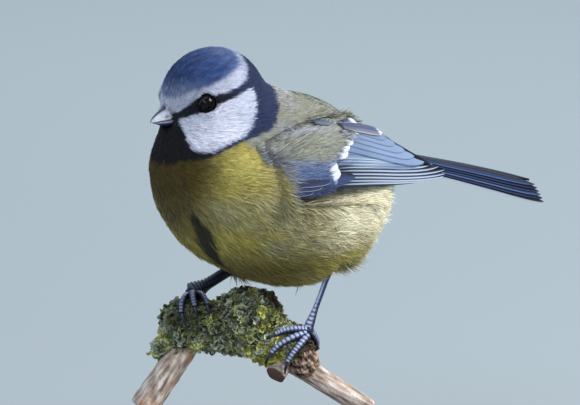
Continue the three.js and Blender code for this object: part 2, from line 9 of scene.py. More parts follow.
import bmesh
import bpy
import numpy as np
from mathutils import Matrix, Vector


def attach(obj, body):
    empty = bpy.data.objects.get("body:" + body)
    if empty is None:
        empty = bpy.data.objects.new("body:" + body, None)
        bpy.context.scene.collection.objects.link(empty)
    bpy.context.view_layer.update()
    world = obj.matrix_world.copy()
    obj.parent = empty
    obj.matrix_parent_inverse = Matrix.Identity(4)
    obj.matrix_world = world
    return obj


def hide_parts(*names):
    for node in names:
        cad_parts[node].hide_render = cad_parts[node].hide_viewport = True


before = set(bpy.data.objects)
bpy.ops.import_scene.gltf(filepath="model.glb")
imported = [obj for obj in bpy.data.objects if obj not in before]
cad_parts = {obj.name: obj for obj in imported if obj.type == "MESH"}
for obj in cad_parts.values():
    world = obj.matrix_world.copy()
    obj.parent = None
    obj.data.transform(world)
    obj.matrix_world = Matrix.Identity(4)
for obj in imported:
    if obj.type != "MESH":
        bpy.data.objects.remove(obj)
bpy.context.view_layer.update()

MM = 1000  # millimetres in a metre
TURN = 2 * math.pi
COAT_SHARE, SMALL_SHARE = ((1, 1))

TORSO = np.array([-5.0, 0.0, 70.0])
HEAD = np.array([21.8, 0.0, 27.1])
HEAD_YAW, HEAD_PITCH = math.radians(-8), math.radians(17)  # to its right, and bill down
HEAD_AXES = np.array(Matrix.Rotation(HEAD_YAW, 3, "Z") @ Matrix.Rotation(HEAD_PITCH, 3, "Y"))
NECK_WAY = np.array([0.5, 0, 0.866])  # from the neck through the middle of the head
BILL_ROOT = HEAD + HEAD_AXES @ np.array([12.5, 0, 0.3])
EYE_PLACE = (6.8, 10.5, 3.2)  # forward, out and up in the head


def unit(vectors):
    vectors = np.asarray(vectors, float)
    return vectors / np.maximum(np.linalg.norm(vectors, axis=-1, keepdims=True), 1e-9)


def ease(value, low, high):
    """0 up to low, 1 from high on, and a smooth rise between them."""
    t = np.clip((value - low) / (high - low), 0, 1)
    return t * t * (3 - 2 * t)


def patch(across, along):
    """1 in the middle of a soft round patch, falling away to 0 outside it."""
    return np.exp(-(across**2) - along**2)


def through(pairs, value):
    """A value read off a line through pairs of numbers."""
    return np.interp(value, *zip(*pairs))


def linear(hex_colour):
    """An sRGB hex colour as linear red, green and blue."""
    parts = np.array([int(hex_colour[i : i + 2], 16) for i in (0, 2, 4)]) / 255
    return np.where(parts <= 0.04045, parts / 12.92, ((parts + 0.055) / 1.055) ** 2.4)


WAVES, USUAL_PEAK = 7, 4  # the sines in a ripple, and how high their sum usually gets


def ripple(places, size, seed):
    """Smooth, repeatable variation from about -1 to 1, with swells about size across."""
    chance = np.random.default_rng(seed)
    total = 0
    for _ in range(WAVES):
        way = unit(chance.normal(size=3)) * chance.uniform(0.7, 1.5) * 2 * math.pi / size
        total = total + np.sin(places @ way + chance.uniform(0, TURN))
    return total / USUAL_PEAK


def in_head(places):
    """Places as forward, left and up from the middle of the head."""
    return (places - HEAD) @ HEAD_AXES


def past_neck(places):
    """How far places lie past the middle of the head, on the line from the neck through it."""
    return (places - HEAD) @ NECK_WAY


def from_eye(places):
    """How far places lie from the eye on their own side."""
    ahead, left, up = in_head(places).T
    forward, out, height = EYE_PLACE
    return np.sqrt((ahead - forward) ** 2 + (np.abs(left) - out) ** 2 + (up - height) ** 2)


# Materials


def node(tree, kind, settings=None, **links):
    """Adds a node. Settings name its inputs or properties, and links its inputs, _ for a space."""
    made = tree.nodes.new(kind)
    for name, value in (settings or {}).items():
        if name in made.inputs:
            made.inputs[name].default_value = value
        else:
            setattr(made, name, value)
    for name, source in links.items():
        tree.links.new(source, made.inputs[name.replace("_", " ")])
    return made


def new_material(name):
    material = bpy.data.materials.new(name)
    material.use_nodes = True
    tree = material.node_tree
    tree.nodes.clear()
    return material, tree


def surface(tree, settings, **links):
    shader = node(tree, "ShaderNodeBsdfPrincipled", settings, **links)
    node(tree, "ShaderNodeOutputMaterial", Surface=shader.outputs["BSDF"])


def painted_material(name, settings):
    """A surface in the colours that are painted on its piece."""
    material, tree = new_material(name)
    tint = node(tree, "ShaderNodeAttribute", {"attribute_name": "tint"})
    surface(tree, settings, Base_Color=tint.outputs["Color"])
    return material


def patterned(tree, pattern, shades, bump, settings):
    """A painted surface with a pattern that shades its paint and raises it by bump."""
    tint = node(tree, "ShaderNodeAttribute", {"attribute_name": "tint"})
    dim = node(tree, "ShaderNodeMapRange", shades, Value=pattern)
    scaled = {"Vector": tint.outputs["Color"], "Scale": dim.outputs["Result"]}
    shade = node(tree, "ShaderNodeVectorMath", {"operation": "SCALE"}, **scaled)
    raised = node(tree, "ShaderNodeBump", bump, Height=pattern)
    surface(tree, settings, Base_Color=shade.outputs["Vector"], Normal=raised.outputs["Normal"])


def grown_material(
    name, roughness, grain, depth, detail=4, shades=(0.78, 1.15), strength=0.5, coat=0.0, shine=0.5
):
    """Down, horn, scale, bark or crust: painted, with a fine grain whose size is in metres."""
    material, tree = new_material(name)
    place = node(tree, "ShaderNodeTexCoord")
    noise = {"Scale": 1 / grain, "Detail": detail}
    spots = node(tree, "ShaderNodeTexNoise", noise, Vector=place.outputs["Object"])
    low, high = shades
    patterned(
        tree,
        spots.outputs["Fac"],
        {"From Min": 0.3, "From Max": 0.7, "To Min": low, "To Max": high},
        {"Strength": strength, "Distance": depth},
        {
            "Roughness": roughness,
            "Specular IOR Level": shine,
            "Coat Weight": coat,
            "Coat Roughness": 0.2,
        },
    )
    return material


def vane_material():
    """Flight and tail feathers: combed vanes, a faint gloss, fine barb lines 0.3 mm apart."""
    material, tree = new_material("feather_vanes")
    barbs = node(tree, "ShaderNodeUVMap", {"uv_map": "barbs"})
    wave = {"bands_direction": "Y", "Scale": 1, "Distortion": 1.2, "Detail": 2}
    lines = node(tree, "ShaderNodeTexWave", wave, Vector=barbs.outputs["UV"])
    patterned(
        tree,
        lines.outputs["Fac"],
        {"To Min": 0.86, "To Max": 1.08},
        {"Strength": 0.25, "Distance": 0.00005},
        {"Roughness": 0.55, "Specular IOR Level": 0.25},
    )
    return material


# Feather barbs, grown keratin: soft and matt, with the light catching along them
FEATHER = painted_material(
    "feather_barbs",
    {"Roughness": 0.72, "Specular IOR Level": 0.28, "Sheen Weight": 0.12, "Sheen Roughness": 0.5},
)
# The down under the feathers: matt and mottled, the coat's own colours in shade
DOWN = grown_material("down", 0.95, 1 / 1800, 0.0003, 3, (0.45, 0.8), 0.6)
VANES = vane_material()
# Bill: grown horn, worn smooth, a slight gloss. Claws: the same, drier. Legs: small horny scales.
HORN = grown_material("bill_horn", 0.33, 0.0006, 0.00002, coat=0.15)
CLAW = grown_material("claw_horn", 0.38, 0.0004, 0.00002)
SCALE = grown_material("leg_scales", 0.42, 0.0003, 0.00003)
# Eyes: a dark iris under a wet, clear cornea, which gives it its one hard highlight
EYE = painted_material("eye_wet", {"Roughness": 0.1, "IOR": 1.38, "Specular IOR Level": 0.35})
# The bare lids round them: dry, dark and wrinkled, with hardly a gloss
LID = grown_material("lid_skin", 0.85, 0.0004, 0.00004, shine=0.15)
# Lichen: dry, crusty and matt. Bark: rough, fibrous and matt.
LICHEN = grown_material("lichen", 0.92, 0.0004, 0.0001)
BARK = grown_material("twig_bark", 0.88, 0.0005, 0.00015)

# Pieces


def add_piece(name, mesh, material, replaces=()):
    """A finished piece: its mesh is in metres in the frame, and it moves with the whole part."""
    made = bpy.data.objects.new(name, mesh)
    bpy.context.scene.collection.objects.link(made)
    made.data.materials.clear()
    made.data.materials.append(material)
    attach(made, "root")
    if replaces:
        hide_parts(*replaces)
    return made


def piece_from(bm, name, material, replaces):
    """Turns a bmesh in metres into a piece."""
    mesh = bpy.data.meshes.new(name)
    bm.to_mesh(mesh)
    bm.free()
    return add_piece(name, mesh, material, replaces)


def finished(bm, name, material, replaces=()):
    """Turns a bmesh whose places are millimetres from the torso into a smooth piece."""
    for vert in bm.verts:
        vert.co = (vert.co + Vector(TORSO)) / MM
    for face in bm.faces:
        face.smooth = True
    return piece_from(bm, name, material, replaces)


def remade(piece, material, steps):
    """Gives a piece the mesh that some modifiers make of its own."""
    for kind, settings in steps:
        step = piece.modifiers.new(kind.lower(), kind)
        for name, value in settings.items():
            setattr(step, name, value)
    evaluated = piece.evaluated_get(bpy.context.evaluated_depsgraph_get())
    mesh = bpy.data.meshes.new_from_object(evaluated)
    piece.modifiers.clear()
    piece.data = mesh
    mesh.materials.clear()
    mesh.materials.append(material)
    for face in mesh.polygons:
        face.use_smooth = True
    return mesh


def read_array(items, name, width):
    values = np.empty(len(items) * width, np.float32 if name != "vertices" else np.int32)
    items.foreach_get(name, values)
    return values.reshape(-1, width)


def paint_mesh(mesh, colours):
    """Keeps a colour for each vertex as the attribute that the materials read."""
    layer = mesh.color_attributes.new("tint", "FLOAT_COLOR", "POINT")
    values = np.concatenate([colours, np.ones((len(colours), 1))], 1)
    layer.data.foreach_set("color", values.astype(np.float32).ravel())


def triangle_mesh(name, points, faces, colours):
    """A smooth, painted mesh of separate small blades or flakes, from arrays in millimetres."""
    mesh = bpy.data.meshes.new(name)
    mesh.vertices.add(len(points))
    mesh.vertices.foreach_set("co", ((points + TORSO) / MM).astype(np.float32).ravel())
    mesh.loops.add(faces.size)
    mesh.loops.foreach_set("vertex_index", faces.astype(np.int32).ravel())
    mesh.polygons.add(len(faces))
    mesh.polygons.foreach_set("loop_start", np.arange(0, faces.size, 3, dtype=np.int32))
    mesh.polygons.foreach_set("use_smooth", np.ones(len(faces), bool))
    paint_mesh(mesh, colours)
    mesh.update()
    return mesh


def painted_bmesh():
    bm = bmesh.new()
    bm.verts.layers.float_color.new("tint")
    return bm


def grid_verts(bm, columns, rows):
    """A new flat grid's vertices, with where each lies from 0 to 1 across and along it."""
    verts = bmesh.ops.create_grid(bm, x_segments=columns, y_segments=rows, size=0.5)["verts"]
    flat = np.array([vert.co for vert in verts]) + 0.5
    return verts, flat[:, 0], flat[:, 1]


def settle(bm, verts, places, colours):
    """Moves vertices to their places and paints them."""
    tint = bm.verts.layers.float_color["tint"]
    for vert, place, colour in zip(verts, places, np.broadcast_to(colours, places.shape)):
        vert.co = place
        vert[tint] = (*colour, 1)


def closed(bm):
    """Joins doubled points, then turns every face outwards."""
    bmesh.ops.remove_doubles(bm, verts=bm.verts, dist=1e-4)
    bmesh.ops.recalc_face_normals(bm, faces=bm.faces)
    return bm


# The plumage's colours, by place

# Lines on the side of the head: degrees round from the bill, and height above its middle
CROWN_EDGE = [
    (0, 5.1), (24, 5.6), (40, 6.2), (60, 6.6), (80, 6.9), (106, 7.4), (132, 8.4), (150, 9.6),
    (180, 10.6),
]
BAND_EDGE = [
    (0, 1.5), (21, 2), (39, 3.6), (48, 4.9), (69, 4.6), (84, 4), (101, 4.1), (118, 4.5),
    (146, 7.6), (180, 9.2),
]
CHEEK_TOP = [
    (0, -9), (20, -9), (22, 0.3), (37, 1), (48, 1.4), (64, 1.5), (74, 2.2), (95, 2.3),
    (119, 2.7), (124, -1), (130, -20),
]
CHEEK_LOW = [
    (20, 0), (23, -1), (24, -1.6), (28, -3.7), (34, -6.2), (40, -7.5), (52, -8.3), (67, -7.8),
    (88, -7.8), (104, -6.4), (116, -3.3), (123, 0.4),
]
COLLAR_LOW = [
    (0, -9.6), (20, -9.3), (27, -8.7), (34, -9), (51, -9.3), (66, -8.8), (87, -8.7),
    (106, -8.9), (121, -8.9), (135, -6.9), (153, -4), (180, -2.6),
]
# The line between the yellow front and the grey-green back: forward, up
FLANK_LINE = [(-30, 5.5), (-20, 3), (14, 3.5), (15.5, 9), (18, 15), (22, 19), (27, 21)]
# Where the dark stripe runs down the breast: up, left. How wide it is: up, half width.
STRIPE_PLACE = [(-17, 1), (-11.6, 3.1), (-6, 6.2), (-1.8, 7.2), (3, 6.6)]
STRIPE_WIDTH = [(-14, 0), (-11.5, 1.3), (-7, 2.5), (-3, 2.4), (0, 1.5), (2, 0)]

PAINT = {
    "crown": "41619f",
    "crown_dark": "263d72",
    "crown_fleck": "a2b0ce",
    "white": "f1f2ff",
    "forehead": "dde1f0",
    "band": "cdd1e4",
    "stripe": "151726",
    "stripe_front": "23232f",
    "collar": "243156",
    "bib": "101118",
    "yellow": "b2a453",
    # The yellow of the breast's sides in painted light
    "yellow_painted_light": "c2b765",
    # The yellow underparts in painted shade
    "yellow_painted_shade": "50400e",
    "flank": "a49d78",
    "vent": "eee8ca",
    "breast_stripe": "27241b",
    "mantle": "989a8b",
    "mantle_grey": "a2a4ac",
    "shoulder": "7f838a",
    "rump": "9fa38c",
    "tail_coverts": "6f87a8",
    "wing_blue": "586c98",
    "wing_grey": "858da0",
    "wing_dark": "343f63",
}
PAINT = {name: linear(value) for name, value in PAINT.items()}
PAINT["mantle_pale"] = PAINT["mantle_grey"] * 1.12


def blend(first, second, share):
    """Two colours, or arrays of them, mixed by a share for each place."""
    share = np.asarray(share)[..., None]
    return first * (1 - share) + second * share


def layered(colour, *layers):
    """A colour with others laid over it in turn: each a name in PAINT or colours, and a share."""
    for over, share in layers:
        colour = blend(colour, PAINT[over] if isinstance(over, str) else over, share)
    return colour


def mottling(places):
    """The broad and the fine variation in the body's colours."""
    return ripple(places, 9, 7), ripple(places, 2.4, 9)


def body_colour(places, wander):
    """Yellow below with a dark stripe down the breast, grey-green above, pale under the tail.
    Painted shade darkens the breast's front and the low belly, and painted light brightens the
    upper breast's sides.
    """
    mottle, fine = mottling(places)
    x, y, z = places.T
    grey = 0.8 * ease(-x, -26, -12) * ease(z, -13, -6) + 0.55 * ease(z, -5, 0) * ease(-z, -9, -3)
    # A patch of painted light on the sides of the upper breast
    painted_light_patch = patch((x - 23.5) / 4.5, (z - 12.5) / 4.5) * ease(np.abs(y), 8, 14)
    vent = ease(-x, -8, 6) * ease(z, -13, -2) + ease(-x, 12, 20)
    stripe = through(STRIPE_WIDTH, z) - np.abs(y - through(STRIPE_PLACE, z))
    low = layered(
        PAINT["yellow"],
        ("flank", np.clip(grey + 0.25 * mottle + 0.22 * fine, 0, 0.9)),
        ("yellow_painted_light", np.clip(1.1 * painted_light_patch, 0, 1)),
        ("vent", 0.9 * np.clip(vent + 0.2 * mottle * vent, 0, 1)),
        # Painted shade on the front of the breast and under the low belly
        ("yellow_painted_shade", 0.95 * ease(x + 0.25 * np.abs(z - 4), 28, 36)),
        ("yellow_painted_shade", 0.7 * ease(-z, 6, 14) * ease(x, -4, 10)),
        ("breast_stripe", 0.95 * ease(stripe + wander, -0.4, 0.6) * ease(x, 0, 8)),
    )
    pale = patch((x - 7.5) / 6, (z - 19.6 - 0.17 * (x - 7)) / 1.5) * ease(np.abs(y), 10, 13)
    high = layered(
        PAINT["mantle"],
        ("mantle_grey", ease(0.6 * mottle + 0.5 * fine, 0.1, 1.2)),
        ("shoulder", ease(x, 8, 15) * ease(-z, -21, -12)),
        ("rump", ease(-x, 10, 20)),
        ("mantle_pale", pale),
    )
    line = through(FLANK_LINE, x) + wander
    colour = blend(low, high, ease(z - line, -1.2, 1.2))
    colour = colour * (1 + 0.14 * ripple(places, 1.7, 10) + 0.08 * fine)[:, None]
    return layered(colour, ("tail_coverts", ease(-x, 27, 33) * ease(z, 6, 8)))


def markings(places):
    """The plumage's colour at each place: the body's, and the head's laid over it."""
    wander = 0.4 * ripple(places, 1.6, 5) + 0.2 * ripple(places, 0.7, 6)
    _, fine = mottling(places)
    ahead, left, up = in_head(places).T
    turn = np.degrees(np.arctan2(np.abs(left), ahead)) + 1.5 * wander
    up = up + 0.5 * wander
    on_head = ease(past_neck(places), -16, -15) * ease(places[:, 0], 2, 5)
    cheek_low = through(CHEEK_LOW, turn)
    cheek_grey = 0.4 * ease(turn, 70, 110) + 0.45 * ease(cheek_low + 1.4 - up + wander, 0, 1.4)
    # Pale flecks along the crown's front edge: the crown's own pale fringe, made stronger with
    # painted light
    forehead_rim = 1.5 * ease(10 - up + 0.6 * wander, 0, 4.5) * ease(-turn, -80, -20)
    rim = forehead_rim + 0.35 * ease(turn, 90, 140)
    dark = layered(
        PAINT["collar"],
        ("bib", ease(-turn, -75, -40)),
        ("stripe", ease(up, -3, 0) * ease(-turn, -105, -80)),
        ("stripe_front", ease(up, -2, 0) * ease(-turn, -48, -30)),
    )
    band = layered(
        PAINT["band"],
        ("forehead", ease(-turn, -30, -14)),
        ("crown_fleck", 0.75 * ease(turn, 105, 140)),
    )
    crown = layered(
        PAINT["crown"],
        ("crown_dark", ease(ripple(places, 1.7, 8) + 0.3 * fine, -1.0, 0.9)),
        ("crown_fleck", np.clip(0.5 * rim + 0.1 * fine, 0, 1)),
    )
    return layered(
        body_colour(places, wander),
        (dark, ease(up - through(COLLAR_LOW, turn), -0.3, 0.3) * on_head),
        # The pale spot on the nape
        ("white", 0.4 * patch((turn - 180) / 16, (up + 4.4) / 1.6)),
        (
            layered(PAINT["white"], ("crown_fleck", cheek_grey)),
            ease(up - cheek_low, -0.3, 0.3) * ease(through(CHEEK_TOP, turn) - up, -0.2, 0.3),
        ),
        (band, ease(up - through(BAND_EDGE, turn), -0.2, 0.3) * on_head),
        (crown, ease(up - through(CROWN_EDGE, turn), -0.7, 0.7) * ease(ahead, -8.8, -7.2)),
    )


# The lie of the coat


def along_surface(ways, normals):
    return unit(ways - (ways * normals).sum(1, keepdims=True) * normals)


def lie(places, normals):
    """The way that the feathers lie: back from the bill on the head, back and down on the body."""
    from_bill = places - BILL_ROOT
    reach = np.linalg.norm(from_bill, axis=1)
    back = HEAD_AXES @ np.array([-1, 0, -0.22])
    head = blend(unit(from_bill), back, 0.65 * ease(reach, 3, 15))
    x, y, z = places.T
    body = np.tile([-1.0, 0, -0.42], (len(places), 1))
    body[:, 2] += 0.32 * ease(z, 8, 20)
    body[:, 2] += ease(-x, 12, 22) * (0.5 * ease(-z, -5, 0) - 0.7 * ease(z, 4, 10))
    body[:, 1] += 0.1 * np.sign(y) * ease(x, 10, 25)
    way = blend(unit(body), head, ease(past_neck(places), -14, -8))
    drift = 0.2 * np.stack([ripple(places, 5, seed) for seed in (21, 22, 23)], 1)
    return along_surface(way + drift, normals)


# The skin: the flesh nodes as one closed surface, drawn in by the coat's depth

FLESH = ["head", "neck", "breast", "back", "belly", "rump", "thigh_left", "thigh_right"]
SKIN_SWELL, SKIN_DEPTH = 0.0003, 0.0009
SKIN_VOXEL, CRUST_VOXEL = 0.0006, 0.0005
THIGH_LOW = -13  # the height below which the thighs' ends are drawn up


def make_skin():
    bm = bmesh.new()
    for name in FLESH:
        bm.from_mesh(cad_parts[name].data)
    # The body's narrow end over the roots of the tail
    end = bmesh.ops.create_icosphere(bm, subdivisions=5, radius=0.001)["verts"]
    stretch = Matrix.Rotation(math.radians(-12), 3, "Y") @ Matrix.Diagonal((9.5, 5.2, 4.2))
    middle = Vector(TORSO + [-29.5, 0.5, 6.6]) / MM
    for vert in end:
        vert.co = middle + stretch @ vert.co
    bmesh.ops.remove_doubles(bm, verts=bm.verts, dist=1e-6)
    skin = piece_from(bm, "skin", DOWN, FLESH)
    steps = [
        ("DISPLACE", {"strength": SKIN_SWELL, "mid_level": 0}),
        ("REMESH", {"mode": "VOXEL", "voxel_size": SKIN_VOXEL}),
        ("SMOOTH", {"factor": 0.5, "iterations": 8}),
        ("DISPLACE", {"strength": -SKIN_SWELL - SKIN_DEPTH, "mid_level": 0}),
        ("SMOOTH", {"factor": 0.5, "iterations": 4}),
    ]
    mesh = remade(skin, DOWN, steps)
    # The thighs' ends, drawn up into the belly's down
    for vert in mesh.vertices:
        x, low = vert.co.x * MM - TORSO[0], vert.co.z * MM - TORSO[2] - THIGH_LOW
        if low < 0 and -14 < x < 0:
            vert.co.z -= 0.65 * low / MM * float(ease(-x, -1, 2) * ease(x, -14, -11))
    return mesh


skin = make_skin()
skin_places = read_array(skin.vertices, "co", 3) * MM - TORSO
skin_normals = read_array(skin.vertices, "normal", 3).astype(float)
paint_mesh(skin, markings(skin_places))
skin.calc_loop_triangles()
skin_triangles = read_array(skin.loop_triangles, "vertices", 3)

# The folded wings

WING_BEND = np.array([15.0, 21, 12])
WING_TIP = np.array([-46.2, 5.4, 1.2])
WING_ALONG = unit(WING_TIP - WING_BEND)
WING_OUT = np.array([-0.1, 0.9, 0.42])
WING_OUT = unit(WING_OUT - WING_OUT @ WING_ALONG * WING_ALONG)
WING_UP = np.cross(WING_OUT, WING_ALONG)
WING_BULGE = 5.2
# The wing's lower and upper edges: along it from the bend, up across it
WING_LOW = [(0, -5.8), (4, -6.8), (19, -5.6), (40, -2.4), (57, -1.6), (63, -0.6)]
WING_HIGH = [(0, 5.5), (8, 9.5), (20, 11.5), (34, 11.5), (40, 9.5), (54, 4.5), (63, 1)]


def wing_height(a, b):
    """How far the wing's surface bulges from the plane through its bend and tip."""
    rise = -3.4 + (WING_BULGE + 3.4) * ease(a, -8, 20)
    return rise - WING_BULGE * ease(a, 16, 58) - 0.03 * (b - 5) ** 2


def wing_place(a, b, z):
    """A place on the left wing: a along it from the bend, b up across it, z out from it."""
    a, b, z = (np.asarray(value, float)[..., None] for value in (a, b, z))
    return WING_BEND + a * WING_ALONG + b * WING_UP + (wing_height(a, b) + z) * WING_OUT


def on_wing(places):
    """Where places lie on the wing of their own side, as a, b and z."""
    rel = np.stack([places[:, 0], np.abs(places[:, 1]), places[:, 2]], 1) - WING_BEND
    a, b = rel @ WING_ALONG, rel @ WING_UP
    return a, b, rel @ WING_OUT - wing_height(a, b)


# Tufts: each is a fan of slender blades from one root

MARK = 0.0013  # half the size of a tuft's mark on the unwrapped skin


def tufts(roots, normals, ways, sizes, paint, marks, blades, rings, seed):
    """A tuft for each root: places, triangles, colours and marks on the unwrapped skin.

    sizes holds each tuft's length, its width, the width of a blade, how far it lifts and how much
    it bends back. paint gives the colours at the middles of the blades. The blades differ a little
    in length, direction, roll, start, lift and shade.
    """
    chance = np.random.default_rng(seed)
    length, width, blade, lift, bend = sizes
    number = len(roots)
    shape = (number, blades)
    sides = np.cross(normals, ways)
    fan = np.linspace(-1, 1, blades)[None, :] + chance.normal(0, 0.16, shape)
    reach = length[:, None] * (1 - 0.22 * fan**2) * chance.uniform(0.78, 1.12, shape)
    splay = fan * (width / length)[:, None] * 0.8 + chance.normal(0, 0.1, shape)
    roll = chance.normal(0, 0.45, shape)
    turn_cos, turn_sin = np.cos(splay)[..., None], np.sin(splay)[..., None]
    way = ways[:, None] * turn_cos + sides[:, None] * turn_sin
    across = sides[:, None] * turn_cos - ways[:, None] * turn_sin
    across = across * np.cos(roll)[..., None] + normals[:, None] * np.sin(roll)[..., None]
    start = roots[:, None] + sides[:, None] * (fan * width[:, None] * 0.35)[..., None]
    setback = chance.uniform(-0.15, 0.15, shape) * length[:, None]
    start = start + ways[:, None] * setback[..., None]
    rise = lift[:, None] * chance.uniform(0.75, 1.25, shape)
    shade = chance.normal(1, 0.16, shape).clip(0.55, 1.5) * chance.normal(1, 0.07, (number, 1))
    middles = start + way * (0.62 * reach + chance.normal(0, 0.3, shape))[..., None]
    colours = paint(middles.reshape(-1, 3)).reshape(number, blades, 3)
    points, tints, corners = [], [], []
    for k in range(rings + 1):
        t = k / rings
        along = reach * t
        height = rise * along - bend[:, None] * along**2
        middle = start + way * along[..., None] + normals[:, None] * height[..., None]
        half = blade[:, None, None] * 0.5 * (0.75 + 0.9 * t - 1.5 * t**2) * np.ones_like(middle)
        # Darker at its root, in the shade of its neighbours
        tint = colours * (shade * (0.62 + 0.42 * min(1, 1.6 * t)))[..., None]
        spread = np.stack([MARK * fan, np.full_like(fan, 2 * MARK * t - MARK)], 2)
        for sign in (-1, 1) if k < rings else (0,):
            points.append(middle + sign * across * half)
            tints.append(tint)
            corners.append(marks[:, None] + spread)
    faces = []
    for k in range(rings - 1):
        faces += [(2 * k, 2 * k + 1, 2 * k + 3), (2 * k, 2 * k + 3, 2 * k + 2)]
    faces.append((2 * rings - 2, 2 * rings - 1, 2 * rings))
    points, tints, corners = (
        np.stack(rows, 2).reshape(-1, rows[0].shape[-1]) for rows in (points, tints, corners)
    )
    return points, repeated(faces, number * blades, 2 * rings + 1), tints, corners


def repeated(faces, times, points_each):
    """One shape's triangles for each of many copies of it."""
    offsets = np.arange(times)[:, None, None] * points_each
    return (np.array(faces)[None] + offsets).reshape(-1, 3)


def coat_piece(name, slot, points, faces, tints, marks):
    mesh = triangle_mesh(name, points, faces, tints)
    unwrap = mesh.uv_layers.new(name="OFBake")
    unwrap.data.foreach_set("uv", marks[faces.ravel()].astype(np.float32).ravel())
    mesh.update()
    add_piece(name, mesh, FEATHER)


def unwrapped(places):
    """Marks on an unwrap of the skin: the head round its own middle, the body round its length."""
    ahead, left, up = in_head(places).T
    around = np.arctan2(left, ahead) / TURN + 0.5
    steep = np.arctan2(up, np.hypot(ahead, left)) / math.pi + 0.5
    x, y, z = places.T
    turn = np.arctan2(y, z - 4) / TURN + 0.5
    along = (x + 45) / 90
    return np.where(
        (past_neck(places) > -10.5)[:, None],
        np.stack([0.01 + 0.4 * around, 0.02 + 0.96 * steep], 1),
        np.stack([0.43 + 0.56 * along, 0.02 + 0.96 * turn], 1),
    )


def scatter(per_mm2, seed):
    """Roots spread evenly over the skin: places, normals."""
    chance = np.random.default_rng(seed)
    corner = skin_places[skin_triangles]
    first, second = corner[:, 1] - corner[:, 0], corner[:, 2] - corner[:, 0]
    area = np.linalg.norm(np.cross(first, second), axis=1) / 2
    wanted = np.cumsum(area * per_mm2(corner.mean(1)))
    picks = np.searchsorted(wanted, np.arange(chance.uniform(), wanted[-1]))
    u, v = chance.uniform(size=(2, len(picks)))
    u, v = np.where(u + v > 1, 1 - u, u), np.where(u + v > 1, 1 - v, v)
    weights = np.stack([1 - u - v, u, v], 1)[..., None]
    corners = skin_triangles[picks]
    normals = unit((skin_normals[corners] * weights).sum(1))
    return (skin_places[corners] * weights).sum(1), normals


def head_share(places):
    """1 on the head, falling to 0 down the neck."""
    return ease(past_neck(places), -15, -11)


def nearness_to_face(places):
    """1 round the bill and the eyes, falling to 0 a few millimetres away."""
    bill = np.linalg.norm(places - BILL_ROOT, axis=1)
    return np.maximum(1 - ease(bill, 3.2, 8), 1 - ease(from_eye(places), 2.2, 5))


# Tufts on each square millimetre of the body, and how many more on the head and the face
BODY_TUFTS, HEAD_TUFTS, FACE_TUFTS = 2.6, 4, 9


def coat_density(places):
    head = head_share(places)
    more = HEAD_TUFTS * head
    return COAT_SHARE * (BODY_TUFTS + more + FACE_TUFTS * nearness_to_face(places) * head)


def coat_roots():
    """Where the coat's tufts grow: not under the wings, in the bill, on the eyes or in the tail."""
    roots, normals = scatter(coat_density, 11)
    ahead, left, up = in_head(roots).T
    a, b, z = on_wing(roots)
    wing_low, wing_high = through(WING_LOW, a) + 1.4, through(WING_HIGH, a) - 1.4 - 3.4 * (a < 20)
    under_wing = (a > 3) & (a < 60) & (b > wing_low) & (b < wing_high) & (z < 1)
    in_bill = (ahead > 10.4) & (np.abs(left) < 2.2) & (up < 2.3) & (up > -1.6)
    keep = ~(under_wing | in_bill | (from_eye(roots) < 2.4) | (roots[:, 0] < -35))
    return roots[keep], normals[keep]


